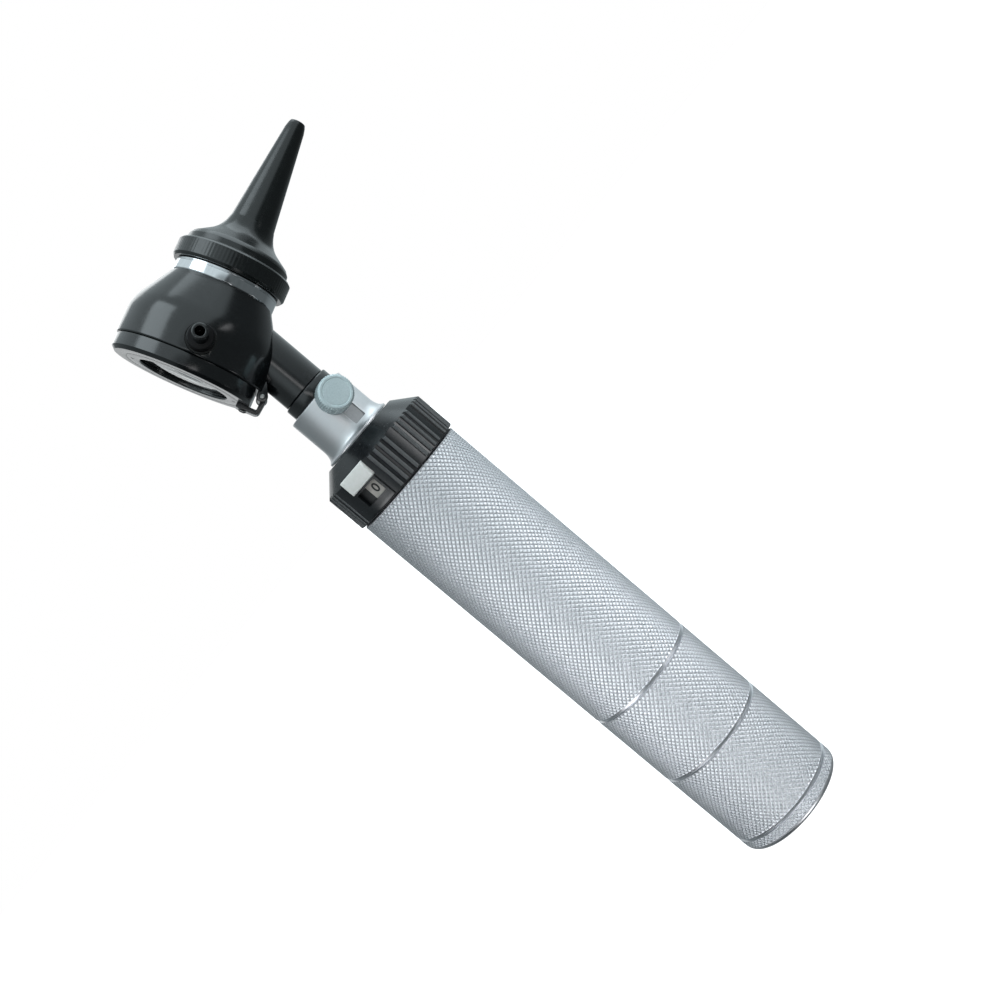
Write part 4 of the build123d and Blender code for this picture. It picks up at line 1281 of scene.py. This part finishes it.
# --- hinge: goose-neck strap, pin and rivets ---
STRAP_WIDTH = 5.0
STRAP_THICKNESS = 0.95
STRAP_TIP_P = -12.9
STRAP_KNUCKLE_R = 1.2
RIVET_HEAD_R = 0.95
RIVET_CROWN = 0.55
RIVET_STEM_R = 0.55
RIVET_LENGTH = 2.9
RIVET_Y = 1.4

strap_rear = reach("hinge_strap", HEAD)[1]
strap_outer = pin_p - STRAP_THICKNESS + 0.05
strap_inner = strap_outer + STRAP_THICKNESS


def strap_outline():
    """Side view of the strap: down the plate's back, round the corner, to its knuckle."""
    bend = softened(
        [
            (pin_s, strap_outer, 0),
            (strap_rear, strap_outer, 1.1),
            (strap_rear, STRAP_TIP_P, 0.25),
            (plate_rear - 0.02, STRAP_TIP_P, 0.1),
            (plate_rear - 0.02, strap_inner, 0.25),
            (pin_s - STRAP_KNUCKLE_R, strap_inner, 0),
        ]
    )
    return [tuple(point) for point in bend[-2:0:-1]] + knuckle(STRAP_KNUCKLE_R, -90, 270, 16)


hinge_strap = slab("hinge_strap_bent", strap_outline(), STRAP_WIDTH, HEAD_SIDE)
carve(hinge_strap, "DIFFERENCE", drum(PIN_R + PIN_GAP, -5, 5, PIN, 32))
install(bevelled(hinge_strap, 0.12), "strap", "strap_black", "hinge_strap")

pin_half = reach("hinge_pin", PIN)[2]
hinge_pin = lathe(
    "hinge_pin_turned",
    [(0, -pin_half, 0), (PIN_R, -pin_half, 0.15), (PIN_R, pin_half, 0.15), (0, pin_half, 0)],
    PIN,
    48,
)
install(hinge_pin, "spring", "spring_steel", "hinge_pin")

rivet_p = (HEAD.inverted() @ centre("strap_rivets")).x
rivet_rear = reach("strap_rivets", HEAD)[1]


def rivet(side):
    place = shifted(HEAD, rivet_p, side * RIVET_Y, 0)
    return lathe(
        "strap_rivet",
        [
            (0, rivet_rear, 0),
            (RIVET_HEAD_R * RIVET_CROWN, rivet_rear, 0.3),
            (RIVET_HEAD_R, strap_rear - 0.12, 0.05),
            (RIVET_HEAD_R, strap_rear, 0),
            (RIVET_STEM_R, strap_rear, 0),
            (RIVET_STEM_R, strap_rear + RIVET_LENGTH, 0),
            (0, strap_rear + RIVET_LENGTH, 0),
        ],
        place,
        32,
    )


left_rivet, right_rivet = rivet(-1), rivet(1)
both = bmesh.new()
both.from_mesh(left_rivet.data)
both.from_mesh(right_rivet.data)
both.to_mesh(left_rivet.data)
both.free()
bpy.data.objects.remove(right_rivet)
shade(left_rivet)
install(left_rivet, "strap", "strap_black", "strap_rivets")

# --- finishes on the CAD nodes that stay ---
KEPT_FINISHES = {
    "spring": ["battery_spring", "contact_spring", "detent_spring", "button_spring", "detent_ball", "wiper"],
    "brass": ["battery_contact", "contact_plunger", "lamp_contact", "lamp_base", "screw_pad"],
    "cell": ["battery_lower", "battery_upper"],
    "black_insulator": ["switch_base", "lamp_insulator", "rheostat_track"],
    "white_insulator": ["insulator_sleeve"],
    "rubber": ["rear_seal", "port_washer", "lens_washer"],
    "turned": ["guide_holder"],
    "fibre": ["light_guide"],
    "glass": ["lamp_bulb"],
}
for finish, names in KEPT_FINISHES.items():
    for name in names:
        materials = frame["nodes"][name].data.materials
        materials.clear()
        materials.append(FINISHES[finish])


# --- floor, surroundings and lights ---
FLOOR_SIZE = 12.0
FLOOR_DROP = 0.0002
FLOOR_GLOW = 1.0
FLOOR_PAINT = 0.85
SURROUND_TINT = (0.84, 0.96, 1.0, 1)
TENT_BEARING = (-0.82, 0.57, 0.0)
TENT_RANGE = (-0.12, -0.01, 0.12, 0.8)
SWEEP_BEARING = (0.0, 0.0, -1.0)
SWEEP_RANGE = (0.0, 0.95, 0.03, 0.25)
LOW_BEARING = (-0.30, -0.85, -0.43)
LOW_RANGE = (0.0, 0.6, 1.0, 0.28)
LENS_BEARING = (0.12, 0.06, 0.99)
LENS_RANGE = (0.92, 0.985, 1.0, 0.45)

half = FLOOR_SIZE / 2
floor_corners = [(-half, -half, 0), (half, -half, 0), (half, half, 0), (-half, half, 0)]
floor_mesh = bpy.data.meshes.new("floor")
floor_mesh.from_pydata(floor_corners, [], [(0, 1, 2, 3)])
floor = add_object("floor", floor_mesh)
floor.location.z = -FLOOR_DROP
floor_finish = bpy.data.materials.new("floor_white")
floor_finish.use_nodes = True
set_sockets(
    floor_finish.node_tree.nodes["Principled BSDF"],
    Base_Color=(FLOOR_PAINT, FLOOR_PAINT, FLOOR_PAINT, 1),
    Roughness=0.9,
    Emission_Color=(1, 1, 1, 1),
    Emission_Strength=FLOOR_GLOW,
)
floor.data.materials.append(floor_finish)
# The object is lit as if it hung in free air: the floor is only a backdrop under it.
for ray in ("diffuse", "glossy", "transmission", "shadow"):
    setattr(floor, f"visible_{ray}", False)


def view_direction(bearing):
    """The scene direction of a bearing given as (right, up, back) of the view."""
    return sum((axis * part for axis, part in zip(CAMERA_AXES, bearing)), Vector()).normalized()


world = bpy.data.worlds.new("surround")
scene.world = world
world.use_nodes = True
sky = world.node_tree
backdrop = sky.nodes["Background"]
set_sockets(backdrop, Color=(1, 1, 1, 1), Strength=1.0)
sky_place = node(sky, "TexCoord")


def glow_towards(bearing, span):
    """Brightness that rises smoothly towards one side; span is from, to, dark and bright."""
    slope = node(sky, "VectorMath", operation="DOT_PRODUCT")
    slope.inputs[1].default_value = view_direction(bearing)
    link(sky, sky_place, "Generated", slope, 0)
    rise = node(sky, "MapRange", interpolation_type="SMOOTHSTEP")
    for socket, value in zip(("From Min", "From Max", "To Min", "To Max"), span):
        rise.inputs[socket].default_value = value
    link(sky, slope, "Value", rise, "Value")
    return rise


# What the object sees round it: a white tent, brightest at the upper left and dimmer below,
# a pale sweep behind, and a darker patch where the camera looks in.
glow = glow_towards(TENT_BEARING, TENT_RANGE)
for operation, bearing, span in (
    ("MULTIPLY", LOW_BEARING, LOW_RANGE),
    ("MAXIMUM", SWEEP_BEARING, SWEEP_RANGE),
    ("MULTIPLY", LENS_BEARING, LENS_RANGE),
):
    joined = node(sky, "Math", operation=operation)
    link(sky, glow, 0, joined, 0)
    link(sky, glow_towards(bearing, span), "Result", joined, 1)
    glow = joined
surround = node(sky, "Background", Color=SURROUND_TINT)
link(sky, glow, "Value", surround, "Strength")
rays = node(sky, "LightPath")
pick = node(sky, "MixShader")
link(sky, rays, "Is Camera Ray", pick, "Fac")
link(sky, surround, "Background", pick, 1)
link(sky, backdrop, "Background", pick, 2)
link(sky, pick, "Shader", sky.nodes["World Output"], "Surface")


def softbox(name, target, bearing, distance, size, glow, tint=(1, 1, 1), spread=180, edge=CAMERA_UP):
    """An area light that faces target (mm) from a bearing. distance and size are in mm, glow is
    the brightness of its face, and spread (degrees) is how widely a grid over it lets the light
    out. Its second side runs along edge."""
    direction = view_direction(bearing)
    lamp = bpy.data.lights.new(name, "AREA")
    lamp.shape = "RECTANGLE"
    lamp.size, lamp.size_y = (side * MM for side in size)
    lamp.spread = math.radians(spread)
    half_spread = lamp.spread / 2
    passed = 1 - half_spread / math.tan(half_spread)
    lamp.energy = glow * math.pi * lamp.size * lamp.size_y * passed
    lamp.color = tint
    light = add_object(name, lamp)
    across = edge.cross(direction).normalized()
    turn = turned_to(across, direction.cross(across), direction)
    light.matrix_world = Matrix.Translation((target + direction * distance) * MM) @ turn
    light.visible_camera = False


END_MIDDLE = Vector((0, 0, 4))
HANDLE_MIDDLE = Vector((0, 0, 50))
NECK_MIDDLE = Vector((0, 0, 140))
FAR = 420
COOL = (0.84, 0.95, 1.0)
GRID_SPREAD = 54
STRIP = {
    "distance": 200,
    "size": (190, 120),
    "glow": 6.3,
    "tint": (0.97, 0.98, 1.0),
    "spread": GRID_SPREAD,
    "edge": Vector((0, 0, 1)),
}
softbox("left_softbox", head_origin, (-0.72, 0.48, 0.50), FAR, (260, 420), 1.9, COOL)
softbox("top_softbox", head_origin, (0.05, 0.97, -0.20), FAR, (380, 300), 1.2, COOL)
softbox("right_strip", HANDLE_MIDDLE, (0.49, 0.71, 0.50), **STRIP)
softbox("low_strip", HANDLE_MIDDLE, (-0.44, -0.63, 0.64), **STRIP)
softbox("back_card", head_origin, (-0.50, 0.33, -0.80), FAR, (170, 200), 1.3)
softbox("lens_card", head_origin, (-0.35, -0.08, -0.93), FAR, (220, 220), 0.6)
softbox("end_card", END_MIDDLE, (0.70, -0.50, 0.50), 150, (80, 80), 5.0, spread=GRID_SPREAD)
softbox("front_strip", NECK_MIDDLE, (0.10, 0.02, 0.99), FAR, (260, 60), 1.4)

scene.view_settings.view_transform = "Standard"
